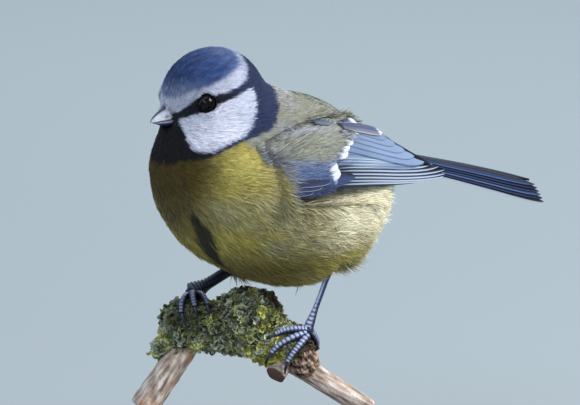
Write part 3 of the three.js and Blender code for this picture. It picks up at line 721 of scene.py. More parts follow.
def coat():
    roots, normals = coat_roots()
    head = head_share(roots)
    face = nearness_to_face(roots) * head
    x, y, z = roots.T
    belly = ease(-z, 0, 8) * (1 - head)
    thigh = ease(-z, 11, 13) * ease(-x, -1, 2) * ease(x, -14, -11)
    low = ease(-z, 9, 14) * (1 - thigh)
    tail = ease(-x, 24, 30)
    rump = ease(-x, 8, 14) * ease(z, 8, 12) * (1 - head)
    length = (5.2 - 2.6 * head + 1.2 * belly - 1.5 * face) * (1 - 0.55 * thigh) * (1 - 0.2 * tail)
    length *= np.random.default_rng(12).uniform(0.85, 1.15, len(roots))
    width = 0.42 * length
    blade = 0.3 - 0.08 * head - 0.06 * face
    lift = 0.22 + 0.08 * belly - 0.16 * thigh - 0.08 * tail + 0.06 * low
    length, lift = length * (1 - 0.3 * rump), lift * (1 - 0.5 * rump)
    bend = 0.03 + 0.025 * head
    ways = lie(roots, normals)
    # The scapulars turn down over the wing's upper edge. Further back they are short and flat.
    a, b, _ = on_wing(roots)
    above = b - through(WING_HIGH, a)
    over = ease(above, -2.4, -1) * ease(-above, -5, -1) * (a > -3) * (a < 27)
    over = over * (z > 6) * ease(-a, -22, -15)
    down = WING_UP * np.stack([np.ones_like(y), np.sign(y), np.ones_like(y)], 1)
    ways = unit(ways - 0.2 * over[:, None] * down)
    edge = ease(a, 12, 17) * ease(-a, -34, -28) * ease(above, -3, -1) * (z > 6)
    length, lift = length * (1 - 0.3 * edge), lift - 0.2 * edge
    # The last feathers of the vent reach back under the tail
    under = ease(-x, 13, 21) * ease(-z, -6, -3) * ease(z, -14, -3)
    ways = unit(ways + under[:, None] * np.array([-0.8, 0, 0.3]))
    # The flank's feathers hide the wing's front edge
    before = ease(a, -9, -5) * ease(-a, 0.5, 2) * ease(b, -9, -7) * ease(-b, -6, -3) * (1 - head)
    length *= 1 + 0.8 * under + 0.35 * before
    lift = lift - 0.04 * over - 0.04 * under - 0.03 * before
    roots = roots + normals * (0.3 * before)[:, None]
    sizes = np.stack([length, width, blade, lift * np.ones_like(x), bend * (1 - 0.5 * under)])
    marks = unwrapped(roots)
    on_head, cap, front, high, left = head > 0.5, in_head(roots)[:, 2] > 5, x > 14, z > 6, y > 0
    lots = [
        ("coat_crown", "crown", on_head & cap),
        ("coat_face", "collar", on_head & ~cap & left),
        ("coat_face_right", "collar", on_head & ~cap & ~left),
        ("coat_breast", "breast", ~on_head & front & left),
        ("coat_breast_right", "breast", ~on_head & front & ~left),
        ("coat_back", "back", ~on_head & ~front & high),
        ("coat_belly", "belly", ~on_head & ~front & ~high & left),
        ("coat_belly_right", "belly", ~on_head & ~front & ~high & ~left),
    ]
    for k, (name, slot, lot) in enumerate(lots):
        blades, rings = (6, 2) if slot in ("crown", "collar") else (7, 3)
        chosen = roots[lot], normals[lot], ways[lot], sizes[:, lot]
        coat_piece(name, slot, *tufts(*chosen, markings, marks[lot], blades, rings, 100 + k))


coat()

# The small feathers that cover the folded wing's front: grey-green off the back, then blue

# Where the mantle's colour ends: a, b. Where the small feathers end, at the wing bar: b, a.
MANTLE_EDGE = [(-3, 6), (0, 3.4), (3, 2), (13, 1), (16.6, 2), (20, 2.6)]
BAR_EDGE = [
    (-7, 16.5), (-3.6, 14.3), (0.8, 11.9), (2.3, 15.2), (6, 17.2), (7.8, 22), (13, 24.6)
]
SMALL_FEATHERS = 2300


def shoulder_paint(places):
    a, b, _ = on_wing(places)
    wander = 0.5 * ripple(places, 2.2, 62)
    mottle, fine = mottling(places)
    blue = layered(
        PAINT["wing_blue"],
        ("wing_grey", np.clip(0.5 * ease(b, -4, 2) + 0.35 * fine, 0, 1)),
        ("wing_grey", 0.8 * ease(-a, -5, -1)),
        ("wing_dark", 0.75 * ease(-b, 2.6, 4.4) * ease(a, 0, 3)),
    )
    back = layered(
        PAINT["mantle"],
        ("mantle_grey", ease(0.6 * mottle + 0.5 * fine, 0.1, 1.2)),
        ("mantle_pale", np.clip(patch((a - 8.5) / 6, (b - 10.3 + 0.12 * (a - 8)) / 1.5), 0, 1)),
        ("shoulder", 0.8 * ease(-a, -7, 0) * ease(-b, -9, -4)),
    )
    past_edge = ease(b - through(MANTLE_EDGE, a) + wander, -1.2, 1.6)
    return blend(blue, back, np.maximum(past_edge, ease(-a + wander, -1, 3)))


def make_shoulder(name, mirror):
    chance = np.random.default_rng(61)
    number = int(SMALL_FEATHERS * SMALL_SHARE)
    a, b = chance.uniform((-3.5, -7), (26, 13.5), (number, 2)).T
    length = through([(-4, 2.6), (2, 3.6), (8, 4.6)], b)
    ends = through(BAR_EDGE, b) + chance.normal(0, 0.35, number)
    keep = (b > through(WING_LOW, a) + 0.8) & (b < through(WING_HIGH, a) + 3)
    keep &= a + 0.97 * length < ends + 0.3
    a, b, length = a[keep], b[keep], length[keep]
    # They sink into the back's feathers along the wing's upper edge
    past = b - through(WING_HIGH, a)
    top = ease(past, -4.5, 0.5) * ease(-a, -22, -16)
    height = 0.5 + 0.7 * ease(a, -2, 8) - 1.5 * top - 0.5 * np.clip(past, 0, None)
    roots = wing_place(a, b, height)
    slope = wing_place(a + 0.5, b, 0) - wing_place(a - 0.5, b, 0)
    rising = wing_place(a, b + 0.5, 0) - wing_place(a, b - 0.5, 0)
    normals = unit(np.cross(rising, slope))
    normals *= np.sign(normals @ WING_OUT)[:, None]
    drift = 0.14 * ripple(roots, 5, 63)[:, None]
    ways = along_surface(unit(slope + (drift - 0.1) * rising), normals)
    ones = np.ones_like(a)
    sizes = np.stack([length, 0.42 * length, 0.3 * ones, 0.17 * ones, 0.022 * ones])
    points, faces, tints, marks = tufts(
        roots, normals, ways, sizes, shoulder_paint, unwrapped(roots), 7, 3, 64
    )
    if mirror:
        points = points * [1, -1, 1]
        faces = faces[:, ::-1]
        marks = marks * [1, -1] + [0, 1]
    coat_piece(name, "wing", points, faces, tints, marks)


make_shoulder("coat_shoulder", False)
make_shoulder("coat_shoulder_right", True)

# Flight and tail feathers: vanes laid on the wing's or tail's own surface

# A vane's half width along its length, as shares of its widest
VANE_OUTLINE = [
    (0, 0.6), (0.25, 0.9), (0.6, 1), (0.8, 0.94), (0.9, 0.76), (0.96, 0.48), (0.99, 0.22), (1, 0.06)
]
VANE_THICKNESS = 0.00012
VANE_COLUMNS = 8
BARB_SCALE, BARB_SLANT = 2, 2.4


def feather_bmesh():
    bm = painted_bmesh()
    bm.loops.layers.uv.new("barbs")
    return bm


def add_vane(bm, place, paint, root, tip, half, low, high, rows, camber):
    """One feather's vane on a surface that place gives.

    half is its half width, low and high are the heights of its two long edges, and paint(t, s)
    colours it by how far along and across it a place is.
    """
    made, u, v = grid_verts(bm, VANE_COLUMNS, rows)
    s, t = 2 * u - 1, 1 - (1 - v) ** 1.25
    a = root[0] + (tip[0] - root[0]) * t
    b = root[1] + (tip[1] - root[1]) * t + s * half * through(VANE_OUTLINE, t)
    shaft = 0.07 * np.exp(-((s / 0.12) ** 2)) * (1 - 0.6 * t)
    z = (low + high) / 2 + (high - low) / 2 * s + camber * (1 - s**2) + shaft
    settle(bm, made, place(a, b, z), paint(t, s))
    # The barbs slant out from the shaft towards the tip
    barbs = bm.loops.layers.uv["barbs"]
    run, out = t * math.dist(root, tip) * BARB_SCALE, s * half
    marks = {vert: (out[k], run[k] - abs(out[k]) * BARB_SLANT) for k, vert in enumerate(made)}
    for face in {face for vert in made for face in vert.link_faces}:
        for loop in face.loops:
            loop[barbs].uv = marks[loop.vert]


def vane_paint(
    inner, outer, edge=None, edge_width=0.1, tip=None, tip_length=0.1, shaft=None, side=-1
):
    """How a vane is coloured: its two webs, a pale outer edge, a pale tip and its shaft."""
    inner, outer = linear(inner), linear(outer)
    edge, tip, shaft = (linear(tone) if tone else None for tone in (edge, tip, shaft))

    def paint(t, s):
        s = s * side
        colour = blend(inner, outer, ease(s, -0.15, 0.15))
        if edge is not None:
            rim = ease(s, 1 - 2 * edge_width, 1 - edge_width) * ease(t, 0.02, 0.2)
            colour = blend(colour, edge, rim)
        if shaft is not None:
            colour = blend(colour, shaft, np.exp(-((s / 0.1) ** 2)))
        if tip is not None:
            ragged = t + 0.03 * np.sin(9 * s)
            end = ease(ragged, 1 - tip_length * 1.3, 1 - tip_length * 0.6)
            colour = blend(colour, tip, end)
        return colour * (0.75 + 0.25 * ease(t, 0.1, 0.5))[:, None]

    return paint


def finish_vanes(bm, name, node_name, mirror=False):
    if mirror:
        bmesh.ops.scale(bm, vec=(1, -1, 1), verts=bm.verts)
        bmesh.ops.reverse_faces(bm, faces=bm.faces)
    made = finished(bm, name, VANES, [node_name])
    wall = made.modifiers.new("thickness", "SOLIDIFY")
    wall.thickness = VANE_THICKNESS
    wall.offset = -1


# Tips of the ten flight feathers and the five tertials, the lowest first: a, b
PRIMARY_TIPS = [
    (59, 0.7), (63, 1), (65, 1.4), (64.5, 1.9), (63, 2.5), (60.5, 3.1), (58, 3.6), (56, 4),
    (46.8, 3.9), (46.4, 4.1),
]
TERTIAL_TIPS = [(54, 3.8), (49.8, 5), (45.6, 6.2), (41.4, 7.5), (37.6, 8.7)]
TERTIAL_BLUES = ["8a9fc2", "8ea3c4", "8ca1c2", "8a9dbd", "8397b8"]
SECONDARY_BLUES = ["6f87ad", "7c94b9", "869dc0", "8ba1c2", "8ea3c3", "8fa4c4", "90a5c4"]


def make_wing(side, mirror):
    bm = feather_bmesh()

    def lay(paint, root, tip, half, low, high, rows=14, camber=0.06):
        add_vane(bm, wing_place, paint, root, tip, half, low, high, rows, camber)

    # Flight feathers: dark vanes with pale blue outer edges. The lowest one's outer edge is painted
    # dark instead: painted shadow under the wing.
    for k, tip in enumerate(PRIMARY_TIPS):
        paint = vane_paint("141a2b", "26304a", "c4d2e6" if k else "2a3148", 0.22, shaft="10131f")
        low = -0.2 + 0.1 * k
        lay(paint, (12, -4.6 + 0.76 * k), tip, 1.1, low, low - 0.6, 26, 0.12)
    # Secondaries: broad blue outer webs that lie over the flight feathers
    for k, blue in enumerate(SECONDARY_BLUES):
        inner, edge = ("35435f", "b9c8de") if k < 3 else ("6f85aa", "9db0cd")
        low = 0.5 + 0.09 * k
        root, tip = (12, 1.1 + 0.95 * k), (52.5 - 1.6 * k, 3 + 0.55 * k)
        lay(vane_paint(inner, blue, edge, 0.12, shaft=blue), root, tip, 1.4, low, low - 0.35, 24)
    # Tertials: blue, with dark inner edges that make the wing's black upper line
    for k, (tip, blue) in enumerate(zip(TERTIAL_TIPS, TERTIAL_BLUES)):
        paint = vane_paint(blue, blue, "151b2e", 0.22, shaft=blue, side=1)
        low = 1 + 0.12 * k
        lay(paint, (18, 4.4 + 1.5 * k), tip, 1.7, low, low - 0.3, 22, 0.05)
    # The dark inner webs that show along the wing's upper line
    lay(vane_paint("0e1220", "0e1220"), (28, 11.3), (57, 3.1), 0.75, 0.8, 0.8, 22, 0.05)
    # Inner feathers that bridge the wing and the rump
    for k in range(4):
        paint = vane_paint("6d7c92", "76839a", "8b9484", 0.2, shaft="6d7c92")
        root, tip = (12 - k, 12.4 + 1.3 * k), (40 - 4.5 * k, 9.8 + 1.5 * k)
        lay(paint, root, tip, 2.1, 0.6 - 1.3 * k, -1.2 - 1.5 * k, 20, 0.3)
    # The shortest: grey-violet with a yellowish lower edge and a white tip
    paint = vane_paint("5b607c", "767c98", "d0ceb8", 0.14, "f3f5fb", 0.09, "565d78")
    lay(paint, (18, 10), (35.8, 9.8), 1.5, 1.9, 1.5, 20, 0.08)
    # Greater coverts, whose white tips make the wing bar's three patches
    for k in range(10):
        b = -3.4 + 1.65 * k
        white = -3 < b < 1 or 2.6 < b < 7 or b > 8.6
        tip, reach = ("e4e7f4", 2.1) if white else ("93a0bc", 0.6)
        a = through(BAR_EDGE, b) + reach
        paint = vane_paint("46536f", "5f7294", None, 0.1, tip, 0.45, tip)
        low = 1.2 + 0.03 * k
        lay(paint, (a - 6, b - 0.4), (a, b), 1.6, low, low - 0.25)
    # Primary coverts and the alula: dark, with thin pale edges
    for k in range(5):
        b = -5.6 + 0.75 * k
        paint = vane_paint("1e2540", "36446c", "6f80a6", 0.1)
        lay(paint, (5, b), (13.5 + 1.9 * k, b + 0.3), 0.95, 1.1, 0.6)
    for k in range(3):
        paint = vane_paint("1c2238", "2e3a60", "d3d9ea", 0.08)
        low, tip = 1.75 + 0.1 * k, (8.5 + 2 * k, -5.4 + 0.9 * k)
        lay(paint, (1.5, -5.2 + 0.8 * k), tip, 0.9, low, low - 0.5)
    finish_vanes(bm, f"wing_{side}_feathers", f"wing_{side}", mirror)


make_wing("left", False)
make_wing("right", True)

TAIL_ROOT = np.array([-30.0, 0, 9])
TAIL_YAW, TAIL_DROP, TAIL_ROLL = math.radians(8), math.radians(12), math.radians(18)
TAIL_ALONG = unit([-math.cos(TAIL_YAW), math.sin(TAIL_YAW), -math.tan(TAIL_DROP)])
LEVEL_RIGHT = Vector(unit(np.cross([0, 0, 1], TAIL_ALONG)))
TAIL_RIGHT = np.array(Matrix.Rotation(TAIL_ROLL, 3, Vector(TAIL_ALONG)) @ LEVEL_RIGHT)
TAIL_UP = np.cross(TAIL_ALONG, TAIL_RIGHT)
# Each feather's tip on either side, the middle one first: along, to the bird's right. The tips
# part into three bunches. The feathers' edges and webs are in the same order.
TAIL_TIPS = {
    -1: [(43.4, -1.7), (44, -2.4), (44.5, -3), (44.9, -3.6), (45.3, -4.3), (45.6, -5)],
    1: [(43.4, 1.3), (43.8, 1.8), (43, 2.3), (42.6, 4.7), (43, 5.2), (43.4, 5.7)],
}
TAIL_EDGES = {
    -1: ["4d699c", "2c3d64", "33476f", "5773a6", "2b3c63", "bcc6d8"],
    1: ["4d699c", "2c3d64", "33476f", "5773a6", "2b3c63", "2b3a63"],
}
TAIL_WEBS = ["22335a", "10162a", "10162a", "2c4169", "10162a", "12182c"]


def tail_place(s, q, z):
    """A place on the tail: s along it, q to the bird's right, z up. It droops at its tip."""
    s, q, z = (np.asarray(value, float)[..., None] for value in (s, q, z))
    droop = 0.0011 * np.clip(s, 0, None) ** 2 + 0.03 * q**2
    return TAIL_ROOT + s * TAIL_ALONG + q * TAIL_RIGHT + (z - droop) * TAIL_UP


def make_tail():
    bm = feather_bmesh()
    for pair in range(5, -1, -1):
        for side in (-1, 1):
            level = -0.4 * pair - (0.12 if side > 0 else 0)
            root, tip = (-3, side * (0.2 + 0.16 * pair)), TAIL_TIPS[side][pair]
            edge = TAIL_EDGES[side][pair]
            paint = vane_paint("0a0e20", TAIL_WEBS[pair], edge, 0.1, shaft="070910", side=side)
            half = 1.9 if side < 0 else 1.35
            add_vane(bm, tail_place, paint, root, tip, half, level, level, 28, 0.1)
    finish_vanes(bm, "tail_feathers", "tail")


make_tail()

# Smooth tubes, for the legs, toes and twigs


def curve(points, t):
    """Places on a smooth curve through points, and the ways it runs there, for times 0 to 1."""
    points = np.asarray(points, float)
    ends = np.concatenate([[2 * points[0] - points[1]], points, [2 * points[-1] - points[-2]]])
    at = np.clip(t, 0, 1) * (len(points) - 1)
    k = np.minimum(at.astype(int), len(points) - 2)
    f = (at - k)[:, None]
    p0, p1, p2, p3 = (ends[k + i] for i in range(4))
    c1, c2, c3 = p2 - p0, 2 * p0 - 5 * p1 + 4 * p2 - p3, -p0 + 3 * p1 - 3 * p2 + p3
    return p1 + 0.5 * (c1 * f + c2 * f**2 + c3 * f**3), unit(c1 + 2 * c2 * f + 3 * c3 * f**2)


def round_curve(path, side, t, angle):
    """Places on a curve, and the ways out from it at an angle from side."""
    middle, along = curve(path, t)
    across = unit(side - (along @ side)[:, None] * along)
    over = np.cross(along, across)
    return middle, across * np.cos(angle)[:, None] + over * np.sin(angle)[:, None]


def add_tube(bm, path, side, radius, paint, rings, sides):
    """A closed tube along a path.

    radius takes how far along, the angle from side, and the place on the middle line. paint takes
    the first two and the place on the surface.
    """
    verts, u, t = grid_verts(bm, sides, rings)
    # Rings stand closer together near both ends, where the tube quickly rounds off
    t = 0.5 - 0.5 * np.cos(math.pi * t) * (1 - 0.25 * np.sin(math.pi * t))
    ends = np.sqrt(np.clip(1 - (2 * np.clip(np.abs(t - 0.5), 0, 0.5)) ** 60, 0, 1))
    angle = TURN * u
    middle, around = round_curve(path, side, t, angle)
    places = middle + around * (radius(t, angle, middle) * ends)[:, None]
    settle(bm, verts, places, paint(t, angle, places))
    bmesh.ops.remove_doubles(bm, verts=verts, dist=2e-3)


# Legs, in the perch's own frame: along its twig, up, and out towards the camera

PERCH_TURN = math.radians(144)
PERCH_AXES = np.array(
    [
        [math.cos(PERCH_TURN), math.sin(PERCH_TURN), 0],
        [0, 0, 1],
        [math.sin(PERCH_TURN), -math.cos(PERCH_TURN), 0],
    ]
)
PERCH_ALONG, _, PERCH_OUT = PERCH_AXES


def on_perch(places):
    """Places given as along, up and out."""
    return np.asarray(places, float) @ PERCH_AXES


# The pale leg tone is a painted highlight on the shanks' fronts and the toes' tops
LEG_PAINTED_HIGHLIGHT, LEG_MID, LEG_DARK = linear("b4c2ea"), linear("202a52"), linear("0a0d1b")
CLAW_ROOT, CLAW_TIP = linear("3c4358"), linear("14161f")
SHANK_PLATES, TOE_PLATES = 15, 10
GROOVE = 0.34  # the share of a plate's length over which it rises
# Each toe's knuckles from the ankle on, then its claw's bend and tip. The last is the hind toe.
LEFT_TOES = [
    [
        [5.2, -30.6, 9.8], [2.6, -30.2, 10.9], [-0.2, -30.6, 11.3], [-2.4, -31.4, 11.5],
        [-3.9, -32, 11.6], [-4.9, -33.2, 11.4],
    ],
    [
        [5.2, -31.2, 10], [1.9, -32.1, 12.1], [-1.2, -33.7, 12.9], [-3.3, -35.8, 12.9],
        [-4.5, -37.6, 12.5], [-4.7, -39.6, 11.4],
    ],
    [
        [5.6, -31.8, 10], [3.7, -33.7, 12.3], [2.1, -35.6, 13.1], [0.6, -37.9, 13.1],
        [0.1, -39.8, 12.6], [0, -41.6, 11.5],
    ],
    [
        [6, -31, 9], [7, -32.2, 8.4], [7.7, -34, 7.2], [7.6, -35.8, 5.5],
        [6.9, -37.2, 4.5], [5.9, -38.2, 3.9],
    ],
]
RIGHT_TOES = [
    [
        [-22.9, -23.6, 1.4], [-24.2, -23.2, 4.2], [-25.1, -24.4, 6.8], [-25.3, -26.6, 8.6],
        [-24.8, -28.4, 9.4], [-23.8, -30.2, 9.6],
    ],
    [
        [-22.7, -23.4, 1.4], [-22.6, -22.6, 4.2], [-22.5, -23.3, 6.8], [-22.1, -25, 8.7],
        [-21.7, -26.4, 9.4], [-21.1, -27.8, 9.5],
    ],
    [
        [-22.5, -23.6, 1.4], [-21, -22.8, 3.6], [-19.9, -23.2, 6], [-19.1, -24.7, 7.9],
        [-18.7, -26.1, 8.8], [-18.4, -27.5, 9],
    ],
    [
        [-23, -23.6, 0.6], [-23.6, -23.6, -1.6], [-24.2, -25.2, -3.6], [-24.6, -27.4, -4.8],
        [-24.7, -29, -5.2], [-24.4, -30.6, -5.2],
    ],
]


def plates(t, angle, number):
    """Horny plates: 1 in the middle of each, 0 in the groove after it, none underneath."""
    edge = (t * number) % 1
    plate = ease(edge, 0, GROOVE) * ease(1 - edge, 0, GROOVE)
    return plate * ease(np.cos(angle), -0.35, 0.25)


def toe_paint(light):
    def paint(t, angle, places):
        # A painted highlight along the tops of the toes' plates
        top = blend(LEG_MID, LEG_PAINTED_HIGHLIGHT, ease(np.cos(angle), 0.55, 0.98))
        return light * blend(LEG_DARK, top, 0.06 + 0.94 * plates(t, angle, TOE_PLATES))

    return paint


def shank_paint(light):
    """Smooth above, with a painted highlight down its front, and plated towards the foot."""

    def paint(t, angle, places):
        plate = 1 - (1 - plates(t, angle, SHANK_PLATES)) * ease(t, 0.45, 0.75)
        top = blend(LEG_MID, LEG_PAINTED_HIGHLIGHT, ease(np.cos(angle), 0.75 - 0.4 * ease(t, 0.5, 1), 0.98))
        return light * blend(LEG_DARK, top, 0.06 + 0.94 * plate)

    return paint


def toe_girth(t, angle, middle):
    """Thinner towards the claw, with pads underneath."""
    pads = 1 + 0.16 * np.clip(-np.cos(angle), 0, 1) * np.cos(TURN * 3 * t)
    return (0.97 - 0.27 * t) * pads * (0.94 + 0.12 * plates(t, angle, TOE_PLATES))


def claw_girth(t, angle, middle):
    return (0.55 * (1 - t) ** 0.7 + 0.05) * (1 - 0.18 * np.abs(np.cos(angle)))


def claw_paint(t, angle, places):
    return blend(CLAW_ROOT, CLAW_TIP, ease(t, 0, 0.6))


def make_leg(side, knee, ankle, front, toes, light, stout=1):
    """A shank, a foot and four claws. light dims the far leg with painted shade, and stout widens
    its shank.
    """
    knee, ankle, front = np.array(knee, float), on_perch(ankle), np.array(front, float)

    def shank_girth(t, angle, middle):
        wide = 0.78 + 0.62 * ease(t, 0.62, 1) + 0.3 * (1 - ease(t, 0, 0.25))
        ridges = 0.95 + 0.1 * plates(t, angle, SHANK_PLATES) * ease(t, 0.45, 0.75)
        return stout * wide * ridges * (1 - 0.12 * np.abs(np.sin(angle)))

    bm = painted_bmesh()
    path = [knee, (knee + ankle) / 2, ankle]
    add_tube(bm, path, front, shank_girth, shank_paint(light), 130, 16)
    finished(closed(bm), f"tarsus_{side}_scales", SCALE, [f"tarsus_{side}"])

    bm = painted_bmesh()
    ball = {"u_segments": 20, "v_segments": 14, "radius": 1.2 + 0.3 * stout}
    pad = bmesh.ops.create_uvsphere(bm, **ball)["verts"]
    places = np.array([vert.co for vert in pad])
    tone = blend(LEG_DARK, LEG_MID, ease(np.sin(8 * places[:, 2]), -0.5, 0.3)) * 1.3
    settle(bm, pad, places * [1, 1, 0.95] + ankle, tone)
    paths = [on_perch(toe) for toe in toes]
    hinges = [unit(np.cross(path[1] - path[0], path[4] - path[1])) for path in paths]
    away = np.array([0, 0, 1.0]) + PERCH_OUT
    for k, (path, hinge) in enumerate(zip(paths, hinges)):
        # Painted shade: each toe is dimmed with its leg, and the hind toe, under the twig, more
        dim = (0.5 + 0.5 * light) * (0.6 if k == 3 else 1)
        top = unit(np.cross(hinge, path[3] - path[0]))
        top = top if top @ away > 0 else -top
        add_tube(bm, path[:4], top, toe_girth, toe_paint(dim), 90, 14)
    finished(closed(bm), f"foot_{side}_scales", SCALE, [f"foot_{side}"])

    for k, (path, hinge) in enumerate(zip(paths, hinges)):
        bm = painted_bmesh()
        start = path[3] + (path[4] - path[3]) * 0.02
        add_tube(bm, [start, path[4], path[5]], hinge, claw_girth, claw_paint, 24, 10)
        finished(closed(bm), f"claw_{side}_{k + 1}_horn", CLAW, [f"claw_{side}_{k + 1}"])


make_leg("left", (-6.2, 10.7, -15.6), (5.6, -30.6, 9.2), (1, 0.3, 0), LEFT_TOES, 1)
# The far leg is painted darker: painted shade from the body
make_leg("right", (7.2, -10.6, -17.2), (-22.8, -23.2, 0.8), (0.6, 0, 1), RIGHT_TOES, 0.25, 2)

# The bill, in the head's frame: forward, the heights of its ridge and underside, its half width

BILL_SHAPE = [
    (10.4, 3, -1.9, 2.6),
    (11.6, 3.05, -1.9, 2.55),
    (13.1, 2.95, -1.65, 2.3),
    (15, 2.5, -0.95, 1.65),
    (16.5, 1.85, -0.15, 0.95),
    (17.7, 1, 0.5, 0.14),
]
BILL_PAINT = {
    "cutting_edge": "fdfeff",
    # The upper half's sides are painted near white: painted light on the horn
    "side": "e6e8f6",
    "ridge": "4a4a5c",
    "nostril": "3a3846",
    "gape": "3c3c50",
    "lower_edge": "b8c4e2",
    "lower_side": "3c3a58",
    "tip": "3a3a4a",
}
BILL_PAINT = {name: linear(value) for name, value in BILL_PAINT.items()}


def bill_paint(upper, sky, pit, t):
    """sky is 0 where the halves meet and 1 on the ridge or underside, pit is 1 in the nostril."""
    tones = BILL_PAINT
    if upper:
        # Near-white sides on the upper half: painted light
        side = blend(tones["cutting_edge"], tones["side"], ease(sky, 0.1, 0.45))
        colour = layered(
            side,
            (tones["ridge"], ease(sky, 0.86, 0.98)),
            (tones["nostril"], 0.8 * pit),
            (tones["gape"], 0.75 * ease(-sky, -0.1, -0.03)),
        )
    else:
        colour = blend(tones["lower_edge"], tones["lower_side"], ease(sky, 0.1, 0.4))
    return blend(colour, tones["tip"], 0.6 * ease(t, 0.88, 1))


def make_bill(name, rise):
    """One half of the bill: the upper where rise is 1, the lower where it is -1."""
    bm = painted_bmesh()
    verts, u, t = grid_verts(bm, 40, 36)
    x, ridge, keel, wide = curve(BILL_SHAPE, t)[0].T
    if rise < 0:
        x = x - 0.5 * ease(t, 0.6, 1)
    angle = TURN * u
    line = -0.2 + 0.14 * (x - 11.2) + 0.1 * rise
    far = (ridge if rise > 0 else keel) - line
    height = line + far * np.clip(np.sin(angle), 0, 1) ** 0.9
    side = wide * np.sign(np.cos(angle)) * np.abs(np.cos(angle)) ** 0.9
    pit = patch((x - 13.6) / 0.5, (height - 1.15) / 0.32) * (rise > 0)
    side = side * (1 - 0.16 * pit)
    # Both ends are drawn together, so that the half is closed
    shut = ease(t, 0, 0.02) * np.sqrt(np.clip(1 - ease(t, 0.97, 1), 0, 1))
    height = line + (height - line) * shut
    places = HEAD + np.stack([x, side * shut, height], 1) @ HEAD_AXES.T
    sky = np.clip((height - line) / np.where(np.abs(far) < 0.05, 0.05, far), 0, 1)
    settle(bm, verts, places, bill_paint(rise > 0, sky, pit, t))
    finished(closed(bm), f"{name}_horn", HORN, [name])


make_bill("bill_upper", 1)
make_bill("bill_lower", -1)

# The eyes, and the bare lids that ring them

EYE_RADIUS = 2.7
EYE_OUT, LID_SINK = 0.4, 0.83  # how far the ball stands out, and the lids' ring lies behind it
PUPIL, IRIS, EYE_RIM = linear("020203"), linear("0d0806"), linear("030304")
LID_DARK, LID_PALE = linear("050508"), linear("8d8a92")


def make_eye(side, name):
    forward, out, height = EYE_PLACE
    way = unit([0.471, side * 0.85, 0.236])
    middle = np.array([forward, side * out, height]) + way * (EYE_OUT - EYE_RADIUS)
    turn = Vector((0, 0, 1)).rotation_difference(Vector(way)).to_matrix()

    def seated(places, rise):
        """Places round the eye's own axis, set in the head and raised from the eye's middle."""
        return HEAD + (middle + way * rise + places @ np.array(turn).T) @ HEAD_AXES.T

    bm = painted_bmesh()
    ball = bmesh.ops.create_uvsphere(bm, u_segments=40, v_segments=28, radius=1)["verts"]
    places = np.array([vert.co for vert in ball])
    off_axis = np.hypot(places[:, 0], places[:, 1]) * EYE_RADIUS
    colour = blend(PUPIL, IRIS, ease(off_axis, 0.85, 1.05))
    colour = blend(colour, EYE_RIM, ease(off_axis, 1.5, 1.9))
    bulge = 1 + 0.06 * np.exp(-((off_axis / 1.3) ** 2)) * (places[:, 2] > 0)
    settle(bm, ball, seated(places * EYE_RADIUS * bulge[:, None], 0), colour)
    finished(closed(bm), f"{name}_ball", EYE, [name])

    bm = painted_bmesh()
    verts, u, t = grid_verts(bm, 48, 14)
    around, across = TURN * u, TURN * t
    wrinkle = 1 + 0.1 * np.sin(26 * around) * np.cos(across)
    ring = 2.02 + 0.3 * np.cos(across) * wrinkle
    up_down, inner = np.sin(around), (1 - np.cos(across)) / 2
    places = np.stack(
        [
            ring * np.cos(around),
            (0.9 + 0.04 * up_down - 0.2 * inner) * ring * up_down,
            (0.24 + 0.1 * up_down) * np.sin(across) * wrinkle + (0.3 + 0.5 * inner) * up_down**2,
        ],
        1,
    )
    rim = np.exp(-(((np.cos(across) + 0.85) / 0.35) ** 2)) * ease(-up_down, 0, 0.8)
    tone = blend(LID_DARK, LID_PALE, 0.25 * rim)
    settle(bm, verts, seated(places, EYE_RADIUS - LID_SINK), tone)
    finished(closed(bm), f"{name}_lids", LID)


make_eye(1, "eye_left")
make_eye(-1, "eye_right")

# The perch: a crust of lichen on the crown of a bent twig

LICHEN_TONES = [linear(tone) for tone in ("2a3024", "5f6652", "8d926c", "bab95c")]
LICHEN_PALE, BARE_TWIG = linear("b2baa6"), linear("4d3b30")
LICHEN_FLAKES, CUFF_FLAKES = 4300, 500
LOBES = 11
LEFT_TWIG = on_perch(
    [(-34.9, -51.2, 6), (-29.8, -43.4, 4.6), (-24.2, -35.6, 3.2), (-21.4, -32, 2.6)]
)
# The rings of a flake, from its middle out: its reach, its lift, how light it is, its waviness. The
# inner ring is painted darker, painted shade in the cup, and the outer rim lighter, a painted
# highlight on its curled edge.
FLAKE_RINGS = [(0.5, 0.2, 0.7, 0.1), (1.0, 0.55, 1.6, 0.3)]


